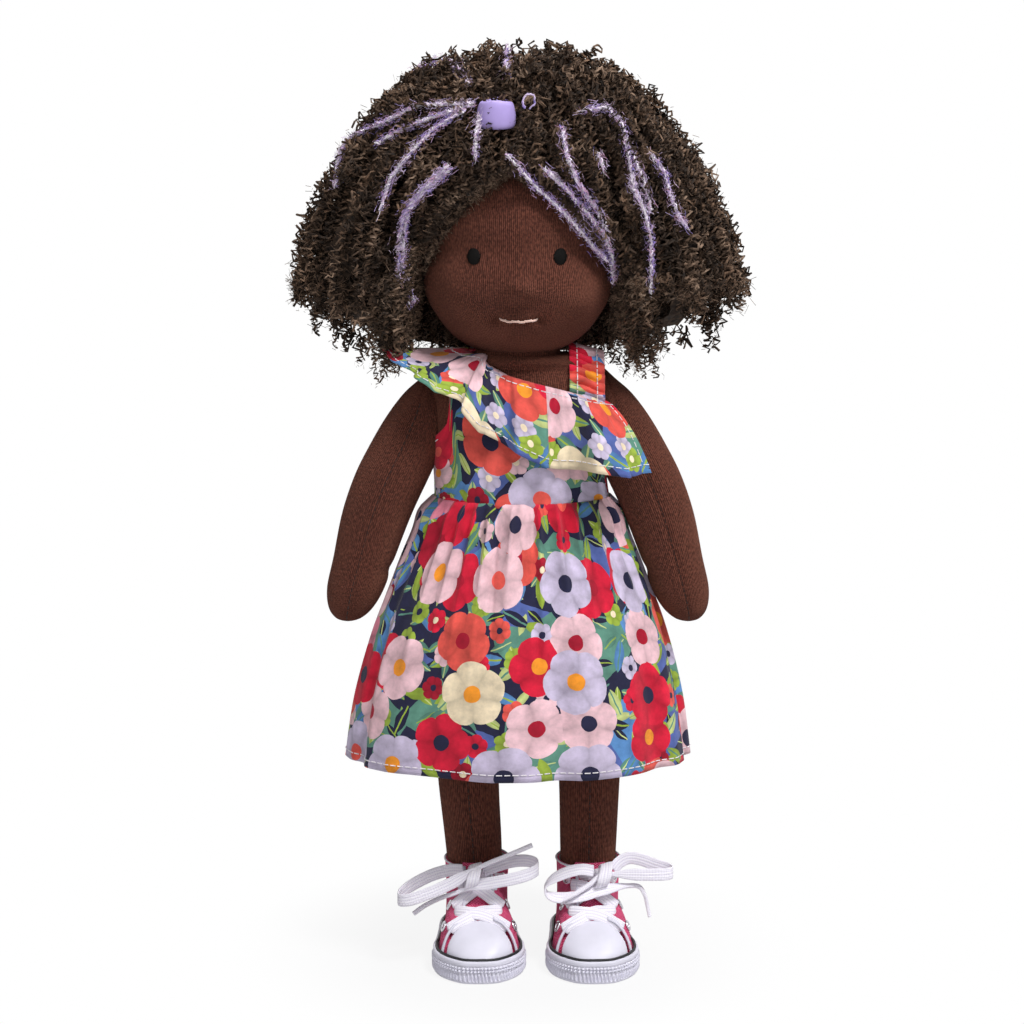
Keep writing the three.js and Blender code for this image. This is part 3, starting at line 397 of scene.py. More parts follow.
@dataclass(frozen=True)
class PrintedCotton(Finish):
    """Printed poplin: flat crisp colour on a fine plain weave, hardly any shine."""

    thread: float = 0.62
    ground: tuple[str, ...] = (
        Hue.NAVY, Hue.TEAL, Hue.NAVY, Hue.BLUE, Hue.NAVY, Hue.TEAL, Hue.PERIWINKLE,
    )
    leaves: tuple[Motif, ...] = (
        Motif(10, 0.5, 0, (Hue.LIME, Hue.TEAL, Hue.SAGE, Hue.TEAL, Hue.NAVY),
              (Hue.SAGE, Hue.LIME), (3.3, 1.7, 0)),
        Motif(15, 0.5, 0, (Hue.SAGE, Hue.LIME, Hue.BLUE, Hue.NAVY, Hue.TEAL),
              (Hue.TEAL, Hue.LIME), (7.1, 4.9, 0)),
    )
    blossoms: tuple[Motif, ...] = (
        Motif(17, 0.3, 6, (Hue.MAUVE, Hue.CORAL, Hue.RED, Hue.LIME, Hue.BLUSH, Hue.CRIMSON, Hue.LIME),
              (Hue.CREAM, Hue.NAVY), (1.9, 8.4, 0), 0.8, 0.8),
        Motif(33, 0.38, 5, (Hue.RED, Hue.PINK, Hue.BLUSH, Hue.CORAL, Hue.CRIMSON),
              (Hue.ORANGE, Hue.NAVY, Hue.CRIMSON), (5.2, 2.6, 0), 0.6, 0.82),
        Motif(39, 0.35, 5, (Hue.BLUSH, Hue.RED, Hue.CREAM, Hue.RED, Hue.MAUVE, Hue.BLUSH),
              (Hue.ORANGE, Hue.NAVY, Hue.CORAL), (0.4, 6.3, 0), 0.5, 0.82),
    )

    def chosen(self, shader: Shader, pick: Socket, hues: Sequence[str]) -> Socket:
        """One of some colours, picked by a share from 0 to 1."""
        colour = shader.add("ValToRGB", {"Fac": pick})
        ramp = colour.node.color_ramp
        ramp.interpolation = "CONSTANT"
        while len(ramp.elements) < len(hues):
            ramp.elements.new(0.5)
        for i, hue in enumerate(hues):
            ramp.elements[i].position = i / len(hues)
            ramp.elements[i].color = linear(hue)
        return colour

    def scatter(self, shader: Shader, cloth: Socket, below: Socket, motif: Motif) -> Socket:
        """Lays one scatter of blossoms or leaves over a colour.

        Args:
            shader: The node tree.
            cloth: The cloth's own coordinates.
            below: The colour under the scatter.
            motif: What is scattered. With no petals it is a leaf.

        Returns:
            The colour with the scatter on it.
        """
        size = (1 / (motif.cell * MM),) * 3
        moved = shader.add("VectorMath", {0: cloth, 1: size, 2: motif.shift}, operation="MULTIPLY_ADD")
        cells = shader.add("TexVoronoi", {"Vector": moved, "Scale": 1.0, "Randomness": motif.spread},
                           voronoi_dimensions="2D").node.outputs
        local = shader.add("VectorMath", {0: moved, 1: cells["Position"]}, operation="SUBTRACT")
        x, y, _ = shader.add("SeparateXYZ", {0: local}).node.outputs
        spin, pick, heart_pick = shader.add("SeparateColor", {0: cells["Color"]}).node.outputs
        reach = cells["Distance"]
        turn = shader.scaled(spin, FULL_TURN, shader.math("ARCTAN2", y, x))
        if motif.petals:
            wave = shader.math("COSINE", shader.math("MULTIPLY", turn, motif.petals / 2))
            lobe = shader.math("POWER", shader.math("ABSOLUTE", wave), 0.55)
            edge = shader.scaled(lobe, motif.reach * (1 - motif.notch), motif.reach * motif.notch)
            inside = shader.math("LESS_THAN", reach, edge)
            heart = shader.math("LESS_THAN", reach, motif.reach * 0.27)
            depth = shader.math("MULTIPLY", shader.math("DIVIDE", reach, edge), lobe)
            shade = shader.remap(depth, 0.15, 0.7, 0.72, 1.0)
        else:
            along = shader.math("MULTIPLY", reach, shader.math("COSINE", turn))
            aside = shader.math("ABSOLUTE", shader.math("MULTIPLY", reach, shader.math("SINE", turn)))
            square = shader.math("MULTIPLY", along, along)
            bow = shader.scaled(square, -0.36 / motif.reach, motif.reach * 0.34)
            inside = shader.math("LESS_THAN", aside, bow)
            heart = shader.math("LESS_THAN", aside, 0.025)
            shade = shader.remap(aside, 0.0, 0.18, 1.0, 0.72)
        petal = shader.shade(self.chosen(shader, pick, motif.hues), shade)
        whole = shader.blend(heart, petal, self.chosen(shader, heart_pick, motif.hearts))
        return shader.blend(inside, below, whole)

    def surface(self, shader: Shader) -> Socket:
        """A patched dark ground, then leaves, then blossoms from small to large, all in a soft wash."""
        cloth, across, along = shader.cloth()
        drift = shader.noise(cloth, 5, 2.0, "Color")
        hand = shader.add("VectorMath", {0: drift, 1: (1.1 * MM,) * 3, 2: cloth}, operation="MULTIPLY_ADD")
        patch = shader.add("TexVoronoi", {"Vector": hand, "Scale": 1 / (17 * MM)}, "Color",
                           voronoi_dimensions="2D")
        colour = self.chosen(shader, shader.add("SeparateColor", {0: patch}), self.ground)
        for motif in self.leaves + self.blossoms:
            colour = self.scatter(shader, hand, colour, motif)
        wash = shader.noise(cloth, 9, 4.0, Roughness=0.65)
        colour = shader.shade(colour, shader.remap(wash, 0.3, 0.7, 0.66, 1.16))
        weave = shader.math("MULTIPLY", shader.wave(across, self.thread), shader.wave(along, self.thread))
        return shader.surface(colour, 0.86, 0.2, sheen_weight=0.12, normal=shader.relief(weave, 0.25, 0.12))


@dataclass(frozen=True)
class Canvas(Finish):
    """Cotton duck: a coarse plain weave whose thread crowns are painted paler, as painted highlights."""

    pitch: float = 1.3

    def surface(self, shader: Shader) -> Socket:
        """A chequer of warp and weft on the cloth's own coordinates."""
        cloth, across, along = shader.cloth()
        weave = shader.math("MULTIPLY", shader.wave(across, self.pitch), shader.wave(along, self.pitch))
        wear = shader.scaled(shader.noise(cloth, 4, 3.0), 1.2, -0.2)
        # Painted highlight: the weave's crowns, where its bump is highest, take the paler pink. The noise
        # adds uneven tone.
        colour = shader.blend(shader.scaled(weave, 0.9, wear, use_clamp=True), Hue.CANVAS, Hue.CANVAS_HIGHLIGHT)
        return shader.surface(colour, 0.8, 0.25, sheen_weight=0.25, sheen_tint=Hue.CANVAS_HIGHLIGHT,
                              normal=shader.relief(weave, 0.8, 0.3))


@dataclass(frozen=True)
class Rubber(Finish):
    """Vulcanised rubber: an even colour with a soft broad light and slight clouding."""

    tone: str = Hue.RUBBER
    gloss: float = 0.42

    def surface(self, shader: Shader) -> Socket:
        """One colour, with clouding in it and in its gloss."""
        cloud = shader.noise(shader.place(), 7, 3.0)
        colour = shader.shade(self.tone, shader.remap(cloud, 0.3, 0.7, 0.93, 1.0))
        gloss = shader.remap(cloud, 0.3, 0.7, self.gloss - 0.06, self.gloss + 0.08)
        return shader.surface(colour, gloss, 0.4)


@dataclass(frozen=True)
class Tape(Finish):
    """Flat woven cotton tape: lengthwise ribs with a fine cross weave, matt."""

    tone: str = Hue.LACE
    shade: str = Hue.LACE_SHADE
    rib: float = 0.56
    weft: float = 0.8

    def surface(self, shader: Shader) -> Socket:
        """Ribs along the tape, broken by the weave across it, with the weave's hollows painted in the shade
        colour as painted shade.
        """
        _, across, along = shader.cloth()
        ribs = shader.wave(across, self.rib)
        weave = shader.scaled(shader.wave(along, self.weft), 0.35, ribs)
        # Painted shade: where the weave's bump is lowest the colour turns to the shade colour.
        colour = shader.blend(shader.remap(weave, -1.2, 0.5), self.shade, self.tone)
        return shader.surface(colour, 0.85, 0.2, sheen_weight=0.2, normal=shader.relief(weave, 0.3, 0.15))


@dataclass(frozen=True)
class Plating(Finish):
    """Nickel plate: bright metal, lightly brushed by handling."""

    def surface(self, shader: Shader) -> Socket:
        """Metal whose gloss wanders a little."""
        gloss = shader.remap(shader.noise(shader.place(), 0.8, 3.0), 0.3, 0.7, 0.2, 0.4)
        return shader.surface(Hue.NICKEL, gloss, 0.5, metallic=1.0)


SKIN = JerseyKnit("brushed cotton jersey")
PRINT = PrintedCotton("printed cotton poplin")
CANVAS = Canvas("cotton canvas")
RUBBER = Rubber("white rubber")
STRIPE = Rubber("black rubber", Hue.STRIPE, 0.5)
LACE = Tape("woven lace tape")
LINING = Tape("cotton lining", Hue.LACE, Hue.RUBBER, 1.1)
EYELET = Plating("nickel plate")
TOPSTITCH = Thread("white topstitching thread")
SEAM = Thread("brown sewing thread", Hue.SEAM, 0.8)
EYES = Thread("black embroidery thread", Hue.EYE, 0.6, 0.0, 0.08)
LIP = Thread("pink embroidery thread", Hue.LIP, 0.6)
BAND = Rubber("lilac elastic", Hue.BAND, 0.6)
YARNS = (
    Yarn("dark boucle yarn", Hue.YARN_DARK, Hue.YARN_BROWN, Hue.YARN_BROWN),
    Yarn("brown boucle yarn"),
    Yarn("light brown boucle yarn", Hue.YARN_BROWN, Hue.YARN_LIGHT, Hue.YARN_HIGHLIGHT),
)
MOHAIR = (
    Yarn("pale mohair", Hue.PALE, Hue.THREAD, Hue.THREAD, 3.0, 0.6),
    Yarn("lilac mohair", Hue.VIOLET, Hue.LILAC, Hue.PALE, 3.0, 0.5),
    Yarn("rose mohair", Hue.ROSE, Hue.LILAC, Hue.PALE, 3.0, 0.5),
)


def linked(mesh: bpy.types.Mesh, name: str) -> bpy.types.Object:
    """Puts a mesh into the scene, smooth-shaded and at the origin."""
    mesh.shade_smooth()
    piece = bpy.data.objects.new(name, mesh)
    bpy.context.scene.collection.objects.link(piece)
    return piece


def piece_from(bm: bmesh.types.BMesh, name: str) -> bpy.types.Object:
    """Turns a bmesh, which is freed, into a piece."""
    mesh = bpy.data.meshes.new(name)
    bm.to_mesh(mesh)
    bm.free()
    return linked(mesh, name)


def shaped_grid(
    name: str, columns: int, rows: int, place: Place, cloth: tuple[float, float], turned: bool = True
) -> bpy.types.Object:
    """A grid laid onto a surface, its seam and poles welded.

    Args:
        name: The piece's name.
        columns: Faces across.
        rows: Faces along.
        place: Gives the point at a share across and a share along.
        cloth: Width and length of the flat cloth in millimetres, for the coordinates of its weave.
        turned: Whether the normals are made to face out.

    Returns:
        The piece.
    """
    bm = bmesh.new()
    weave = bm.loops.layers.uv.new("cloth")
    bmesh.ops.create_grid(bm, x_segments=columns, y_segments=rows, size=0.5)
    for face in bm.faces:
        for loop in face.loops:
            across, along = loop.vert.co.x + 0.5, loop.vert.co.y + 0.5
            loop[weave].uv = (across * cloth[0] * MM, along * cloth[1] * MM)
    for vert in bm.verts:
        vert.co = place(vert.co.x + 0.5, vert.co.y + 0.5)
    bmesh.ops.remove_doubles(bm, verts=bm.verts, dist=2e-6)
    if turned:
        bmesh.ops.recalc_face_normals(bm, faces=bm.faces)
    return piece_from(bm, name)


class Section(Enum):
    """How a strand is shaped across: a closed tube, a half pipe or a flat blade."""

    TUBE = "tube"
    HALF = "half"
    BLADE = "blade"


@dataclass
class Strands:
    """Threads, yarns or fibres gathered into one piece along lines."""

    name: str
    radius: float
    section: Section = Section.TUBE
    lines: list[np.ndarray] = field(default_factory=list)
    tones: list[int] = field(default_factory=list)

    def add(self, line: Sequence[Vector] | np.ndarray, tone: int = 0) -> None:
        """Adds a line of points in frame metres, with the number of its finish."""
        self.lines.append(np.array(line))
        self.tones.append(tone)

    def sew(self, line: Sequence[Vector], stitch: float = 2.3, space: float = 1.0, lift: float = 0.0) -> None:
        """Adds running stitches of five points each along a line.

        Args:
            line: Points of the seam, in frame metres.
            stitch: Length of a stitch in millimetres.
            space: Space between stitches in millimetres.
            lift: How far the middle of a stitch stands off along -Y, in millimetres.
        """
        points = np.array(line)
        run = run_along(points) / MM
        for start in np.arange(0, run[-1] - stitch, stitch + space):
            dash = sampled(points, run, np.linspace(start, start + stitch, 5))
            dash[1:4, 1] -= lift * MM
            self.add(dash)

    def build(self, finishes: Sequence[Finish]) -> bpy.types.Object:
        """Makes the strands and turns them into one mesh.

        Args:
            finishes: The finishes that the lines' tones number.

        Returns:
            The piece.
        """
        curve = bpy.data.curves.new(self.name, "CURVE")
        curve.dimensions = "3D"
        curve.bevel_resolution = 0
        if self.section is Section.BLADE:
            curve.extrude = self.radius * MM
        else:
            curve.bevel_depth = self.radius * MM
            curve.fill_mode = "HALF" if self.section is Section.HALF else "FULL"
            curve.use_fill_caps = self.section is Section.TUBE
        for finish in finishes:
            curve.materials.append(finish.material())
        for line, tone in zip(self.lines, self.tones):
            spline = curve.splines.new("POLY")
            spline.points.add(len(line) - 1)
            weighted = np.column_stack([line, np.ones(len(line))])
            spline.points.foreach_set("co", weighted.astype(np.float32).ravel())
            spline.material_index = tone
        maker = bpy.data.objects.new(self.name + " line", curve)
        bpy.context.scene.collection.objects.link(maker)
        ready = maker.evaluated_get(bpy.context.evaluated_depsgraph_get())
        mesh = bpy.data.meshes.new_from_object(ready)
        mesh.name = self.name
        bpy.data.objects.remove(maker)
        bpy.data.curves.remove(curve)
        return linked(mesh, self.name)


def dress(
    piece: bpy.types.Object,
    finish: Finish | None,
    body: str | None,
    nodes: Iterable[str] = (),
) -> bpy.types.Object:
    """Gives a piece its finish, the body it moves with and the frame nodes it stands for.

    Args:
        piece: The piece.
        finish: Its finish, or None where it has one already.
        body: The body it rides on, or None to give it none.
        nodes: Frame nodes that it replaces.

    Returns:
        The same piece.
    """
    if finish:
        piece.data.materials.append(finish.material())
    if body:
        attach(piece, body)
    if nodes:
        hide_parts(*nodes)
    log.info("%s: %d faces", piece.name, len(piece.data.polygons))
    return piece


def thicken(piece: bpy.types.Object, millimetres: float, lined: bool = False) -> None:
    """Gives a sheet its thickness, inwards from the shaped side.

    Args:
        piece: The sheet.
        millimetres: Its thickness.
        lined: Whether the inner side takes the piece's second material.
    """
    shell = piece.modifiers.new("thickness", "SOLIDIFY")
    shell.thickness = millimetres * MM
    shell.offset = -1
    if lined:
        shell.material_offset = 1


@dataclass(frozen=True)
class Studio:
    """The photograph's camera and soft white studio. Lengths are millimetres from the doll's axis."""

    aside: float = -2.45
    distance: float = 1000.0
    height: float = 350.0
    pitch: float = 9.2
    focal_px: float = 2448.0
    frame_px: int = 1024
    sensor: float = 36.0
    floor_half: float = 12.0
    floor_level: float = -0.0002
    floor_grey: tuple[float, float, float, float] = (0.62, 0.62, 0.63, 1)
    lights: tuple[tuple[str, tuple[float, float, float], float, float], ...] = (
        ("key light", (0.7, -0.9, 1.75), 0.5, 36.0),
        ("fill light", (-0.4, -1.45, 0.9), 0.9, 4.6),
        ("top light", (0.1, 0.55, 1.5), 0.9, 9.0),
    )

    def camera(self) -> None:
        """Sets the camera at the place fitted to the photograph."""
        data = bpy.data.cameras.new("camera")
        data.sensor_width = self.sensor
        data.lens = self.focal_px / self.frame_px * self.sensor
        data.clip_end = 50
        camera = bpy.data.objects.new("camera", data)
        camera.location = at(self.aside, -self.distance, self.height)
        camera.rotation_euler = (math.radians(90 - self.pitch), 0, 0)
        scene = bpy.context.scene
        scene.collection.objects.link(camera)
        scene.camera = camera
        scene.view_settings.view_transform = "Standard"

    def light(self, name: str, place: tuple[float, float, float], side: float, watts: float) -> None:
        """A soft square light that faces the doll.

        Args:
            name: Its name.
            place: Where it hangs, in metres.
            side: Its side in metres.
            watts: Its power.
        """
        data = bpy.data.lights.new(name, "AREA")
        data.size = side
        data.energy = watts
        lamp = bpy.data.objects.new(name, data)
        lamp.location = place
        lamp.rotation_euler = (Vector((0, 0, 0.2)) - Vector(place)).to_track_quat("-Z", "Y").to_euler()
        bpy.context.scene.collection.objects.link(lamp)

    def seen(self, shader: Shader) -> Socket:
        """1 for rays from the camera and off glossy or clear things, 0 for light on the doll."""
        rays = shader.add("LightPath").node.outputs
        glossy = shader.math("MAXIMUM", rays["Is Camera Ray"], rays["Is Glossy Ray"])
        return shader.math("MAXIMUM", glossy, rays["Is Transmission Ray"])

    def surroundings(self) -> None:
        """A white world, a white floor that keeps the shadow, and the lights."""
        world = bpy.data.worlds.new("white studio")
        shader = Shader.of(world)
        fill, white = (shader.add("Background", {"Color": WHITE, "Strength": power}) for power in (0.2, 1.0))
        both = shader.add("MixShader", {0: self.seen(shader), 1: fill, 2: white})
        shader.add("OutputWorld", {"Surface": both})
        bpy.context.scene.world = world

        bm = bmesh.new()
        bmesh.ops.create_grid(bm, x_segments=1, y_segments=1, size=self.floor_half)
        floor = piece_from(bm, "studio floor")
        floor.location.z = self.floor_level
        paint = bpy.data.materials.new("white sweep")
        shader = Shader.of(paint)
        matt = shader.add("BsdfDiffuse", {"Color": self.floor_grey})
        glow = shader.add("Emission", {"Color": WHITE, "Strength": 1.0})
        away = shader.add("VectorMath", {0: shader.place()}, "Value", operation="LENGTH")
        share = shader.remap(away, 0.05, 0.13, 0.88, 1.0, interpolation_type="SMOOTHSTEP")
        lit = shader.math("MULTIPLY", self.seen(shader), share)
        shader.add("OutputMaterial", {"Surface": shader.add("MixShader", {0: lit, 1: matt, 2: glow})})
        floor.data.materials.append(paint)

        for light in self.lights:
            self.light(*light)


@dataclass(frozen=True)
class Ribbon:
    """A flat tape along a route of points, each with the direction of its width."""

    points: tuple[Row, ...]
    widths: tuple[Row, ...]
    width: float
    thickness: float
    tail: float = 1.0

    def spot(self, share: float) -> tuple[Vector, Vector, Vector]:
        """The tape's middle, width direction and face direction at a share of its route.

        Args:
            share: 0 at the start, 1 at the end.

        Returns:
            The middle in doll millimetres, and two directions.
        """
        route, step = Track(self.points), 0.004
        middle = Vector(route.at(share))
        ahead = (Vector(route.at(share + step)) - Vector(route.at(share - step))).normalized()
        across = Vector(Track(self.widths).at(share))
        across = (across - ahead * across.dot(ahead)).normalized()
        return middle, across, ahead.cross(across)

    def path(self, count: int = 160) -> list[Vector]:
        """Points of the middle line in frame metres."""
        return [at(*self.spot(i / count)[0]) for i in range(count + 1)]

    def length(self) -> float:
        """Length of the middle line in metres."""
        path = self.path()
        return sum((b - a).length for a, b in zip(path, path[1:]))

    def build(self, name: str, steps: int = 110) -> bpy.types.Object:
        """Makes the tape as a flat closed tube.

        Args:
            name: The piece's name.
            steps: Faces along it.

        Returns:
            The piece.
        """
        spots = [self.spot(i / steps) for i in range(steps + 1)]

        def place(around: float, along: float) -> Vector:
            """The tape's surface. From the bow on its tail is rolled up, narrower and thicker."""
            middle, across, face = spots[round(along * steps)]
            closed = 0.0 if along in (0.0, 1.0) else 0.5
            rolled = ease(along, 0.6, 0.74) if self.tail < 1 else 0.0
            turn = FULL_TURN * around
            half = self.width * closed * mix(1.0, self.tail, rolled) * rounded(math.cos(turn), 0.6)
            thick = self.thickness * closed * mix(1.0, 1.7, rolled) * rounded(math.sin(turn), 0.5)
            return at(*(middle + across * half + face * thick))

        return shaped_grid(name, 16, steps, place, (self.width * 2, self.length() / MM))


@dataclass(frozen=True)
class LaceEnd:
    """One free end of a shoe lace: a bow loop, back past the knot, and a tail. Route from the knot."""

    side: str
    edge: str
    knot: Row
    route: tuple[Row, ...]
    width: float = 5.2
    thickness: float = 0.9
    tail: float = 0.36

    def build(self) -> None:
        points = tuple(tuple(k + r for k, r in zip(self.knot, step)) for step in self.route)
        rolls = [math.radians(roll) for *_, roll in self.route]
        widths = tuple((0.0, math.cos(roll), math.sin(roll)) for roll in rolls)
        tape = Ribbon(points, widths, self.width, self.thickness, self.tail)
        name = f"{self.side}_lace_{self.edge}_tape"
        nodes = [f"{self.side}_lace_end_{self.edge}"]
        piece = dress(tape.build(name), LACE, f"{self.side}_leg", nodes)
        path = tape.path()
        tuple(path[0])
        tape.length()
        log.info("%s: %.1f mm long", name, tape.length() / MM)


KNOTS: dict[str, Row] = {"left": (35.62, -17.03, 38.28), "right": (-18.6, -17.81, 38.31)}
LACE_ENDS = (
    LaceEnd("right", "outer", KNOTS["right"], (
        (-4.1, -0.6, 1.6, 85), (-10, 0.4, 1.4, 85), (-18, 1.6, -1.4, 85), (-26, 0.6, -5.4, 85),
        (-30.4, -3, -8.2, 85), (-30.4, -7.2, -9, 85), (-26, -9.8, -8, 85), (-18, -9.8, -5.2, 85),
        (-10, -8.2, -2, 85), (-4.5, -6.8, 0.8, 80), (0, -6, 3.2, 70), (6, -4.6, 5.8, 60),
        (13, -4.2, 8.6, 60), (19, -4.2, 11.2, 60), (24.5, -4, 13.6, 60),
    )),
    LaceEnd("right", "inner", KNOTS["right"], (
        (4.1, -0.6, 1.4, 85), (9, 0.4, 3, 85), (16, 1.4, 4.8, 85), (22, 0.8, 5.4, 85),
        (26, -2, 5, 85), (26.4, -5.8, 3.6, 85), (22, -8.4, 2, 85), (15, -8.6, 0.2, 85),
        (8, -7.6, -1.4, 85), (3, -6.4, -2.8, 75), (-2, -5.8, -4.4, 65), (-8, -5.4, -6.8, 60),
        (-14, -5.2, -9, 60), (-20, -5.4, -12, 60), (-24.7, -5.6, -15.4, 60),
    )),
    LaceEnd("left", "outer", KNOTS["left"], (
        (4, 0.2, 1.4, 80), (7, 1.6, 4.4, 80), (11, 2, 6, 85), (16, 1.4, 5.4, 85),
        (21, 0.4, 3.8, 85), (26.4, -1.4, 2.6, 85), (28.4, -4.2, 2, 85), (26, -6.8, 1.8, 85),
        (18, -7.6, 1.8, 85), (10, -7.2, 1.8, 85), (4, -6.4, 1.6, 80), (-1.5, -6, 0.8, 70),
        (-6, -7.2, -2.6, 50), (-12, -9, -6, 50), (-17, -9.8, -8.4, 50),
    )),
    LaceEnd("left", "inner", KNOTS["left"], (
        (-3.9, -1, 1.2, 60), (-9, -2.4, 2.4, 50), (-15, -3, 1.4, 50), (-21, -4, -1.2, 30),
        (-24.2, -4.4, -4.4, 0), (-22.8, -5.4, -7.6, 20), (-17, -6.4, -8.6, 50), (-9, -7.2, -7.4, 50),
        (-3, -6.6, -5.6, 55), (3, -6.2, -4.4, 55), (9, -5.8, -3.6, 50), (14.4, -5.2, -4, 30),
        (17, -5, -7.6, 10), (18.2, -4.8, -12.4, 0), (19.2, -5.4, -17, 0),
    )),
)


@dataclass
class Shoe:
    """A laced canvas high-top. Sizes in millimetres, on the leg's own axis."""

    side: str
    axis: float
    base: float = 4.3
    toe: float = -42.7
    heel: float = 20.7
    half_width: float = 16.7
    toe_height: float = 21.0
    cap_centre: float = -45.0
    cap_radius: float = 16.5
    throat: float = 5.8
    foot: Track = Track((
        (0, 0.3, 0.62), (0.04, 0.56, 0.8), (0.14, 0.78, 1.2), (0.36, 0.86, 1.66), (0.5, 0.91, 1.69),
        (0.58, 0.95, 1.48), (0.66, 1, 1.28), (0.78, 0.98, 1), (0.88, 0.83, 0.8), (0.96, 0.56, 0.6),
        (1, 0.28, 0.46),
    ))
    front: Track = Track((
        (19.6, -30.6), (23, -26.2), (27, -21.2), (31, -16.8), (34, -14.6), (37, -13.2), (40, -12.6),
        (43, -12.4),
    ))
    eyelets: tuple[Row, ...] = ((13.2, 17.2), (12.8, 25.0), (12.0, 32.6))
    lace_width: float = 5.2
    lace_thickness: float = 0.9
    instep: float = 2.6
    splay: float = 2.4
    steps: int = 960
    pivot: float = 10.0
    middle: float = -11.0
    ribs: int = 120
    cap_share: float = 0.372
    collar_share: float = 0.52
    collar_level: float = 39.3
    throat_level: float = 21.6

    @property
    def body(self) -> str:
        """The body that the shoe moves with."""
        return f"{self.side}_leg"

    def seat(self, x: float, y: float, z: float) -> Vector:
        """A place on the shoe's own axis as a point of the frame."""
        turn, ahead = math.radians(self.splay), self.pivot - y
        return at(self.axis + x * math.cos(turn) + ahead * math.sin(turn),
                  self.pivot + x * math.sin(turn) - ahead * math.cos(turn), z)

    @cached_property
    def outline(self) -> np.ndarray:
        """Points and outward normals round the foot, from the heel by +X to the toe and back."""
        half = [(w * self.half_width, mix(self.heel, self.toe, s)) for s, w, _ in self.foot.rows]
        ring = half + [(-x, y) for x, y in reversed(half)]
        ring = [*ring[-2:], *ring, *ring[:3]]
        track = Track(tuple(ring))
        first, last = 2 / (len(ring) - 1), (len(ring) - 3) / (len(ring) - 1)
        points = np.array([track.at(mix(first, last, i / self.steps)) for i in range(self.steps)])
        run = np.cumsum(np.linalg.norm(points - np.roll(points, 1, axis=0), axis=1))
        even = np.linspace(run[0], run[-1], self.steps, endpoint=False)
        points = np.column_stack([np.interp(even, run, points[:, i]) for i in (0, 1)])
        heel = int(np.argmin(np.abs(points[:, 0]) + 100 * (points[:, 1] < 0)))
        points = np.roll(points, -heel, axis=0)
        ahead = np.roll(points, -2, axis=0) - np.roll(points, 2, axis=0)
        normals = np.column_stack([-ahead[:, 1], ahead[:, 0]]) / np.linalg.norm(ahead, axis=1)[:, None]
        outward = np.sign((normals * (points - [0, -10])).sum())
        return np.column_stack([points, normals * outward])

    def edge(self, share: float, swell: float) -> tuple[float, float]:
        """A point of the foot's outline, moved out by a swell."""
        x, y, nx, ny = self.outline[round(share * self.steps) % self.steps]
        return x + nx * swell, y + ny * swell

    def sole(self) -> None:
        """The sole with its foxing: a ribbed toe bumper, a plain lip and a treaded bottom."""
        treads = 16
        bottom = [(0, 0, 0.5), *((i / treads, 1.2, 0.5) for i in range(1, treads))]
        bottom += [(1, 1.4, 0), (1, 2.0, 0.2), (1, 2.3, 0.8)]
        wall = [(1, 2.3, z) for z in np.linspace(1.1, 8.3, 22)]
        lip = [(1, 2.3, 8.7), (1, 2.15, 9.2), (1, 1.8, 9.5), (1, 0.5, 9.5), (1, 0.1, 9.2)]
        well = [(1, 0, 5), (0.6, 0, 4.4), (0, 0, 4.4)]
        rows = bottom + wall + lip + well

        def place(around: float, along: float) -> Vector:
            """The sole's surface."""
            i = round(along * (len(rows) - 1))
            scale, swell, z = rows[i]
            x, y = self.edge(around, swell)
            if len(bottom) <= i < len(bottom + wall):
                ribs = around * FULL_TURN * self.ribs
                toe = 1 - ease(y, -24, -14)
                low = math.sin(ribs) * ease(z, 1.1, 1.6) * (1 - ease(z, 3.6, 4.0))
                net = math.sin(ribs / 2 + z * 2.4) * math.sin(ribs / 2 - z * 2.4)
                high = net * ease(z, 4.2, 4.6) * (1 - ease(z, 6.8, 7.2))
                grooves = -0.35 * (hill(z, 3.95, 0.25) + hill(z, 7.2, 0.25))
                x, y = self.edge(around, swell + toe * (0.55 * low + 0.75 * high) + grooves)
            elif 0 < i < treads:
                wave = FULL_TURN / 5
                tread = math.sin(x * scale * wave) * math.sin((y * scale + self.middle) * wave)
                z = 0.5 - 0.5 * ease(tread, 0.05, 0.25)
            return self.seat(x * scale, self.middle + (y - self.middle) * scale, z)

        piece = shaped_grid(f"{self.side}_sole", self.steps, len(rows) - 1, place, (182, 40))
        dress(piece, RUBBER, self.body, [f"{self.side}_shoe_sole"])

        def stripe(around: float, along: float) -> Vector:
            """A thin raised band on top of the foxing."""
            turn = FULL_TURN * along
            x, y = self.edge(around, 0.75 + 0.6 * rounded(math.cos(turn), 0.7))
            return self.seat(x, y, 9.75 + 0.6 * rounded(math.sin(turn), 0.7))

        dress(shaped_grid(f"{self.side}_stripe", 200, 12, stripe, (182, 6)), STRIPE, self.body)

    def bottom(self, share: float) -> Vector:
        """The upper's lower edge, from one end of the toe cap round the heel to the other."""
        around = mix(-self.cap_share, self.cap_share, share) % 1.0
        x, y = self.edge(around, 0.15)
        return Vector((x, y, self.base + 0.6))

    def top(self, share: float) -> Vector:
        """The upper's upper edge: up one side of the throat, round the collar and down the other."""
        sign = -1 if share < 0.5 else 1
        along = abs(share - 0.5) * 2
        if along > self.collar_share:
            down = (along - self.collar_share) / (1 - self.collar_share)
            z = mix(self.collar_level, self.throat_level, down)
            x = mix(self.throat + 0.5, self.throat, ease(z, 20, 39))
            x = mix(x, self.throat + 0.6, 1 - ease(z, 21, 26))
            return Vector((sign * x, self.front.by_first(z)[0] + 0.2, z))
        turn = math.radians(90 - along / self.collar_share * 156)
        x = sign * 13.6 * rounded(math.cos(turn), 0.95)
        return Vector((x, 1.9 + 14.0 * math.sin(turn), 39.4 + 0.5 * math.sin(turn)))

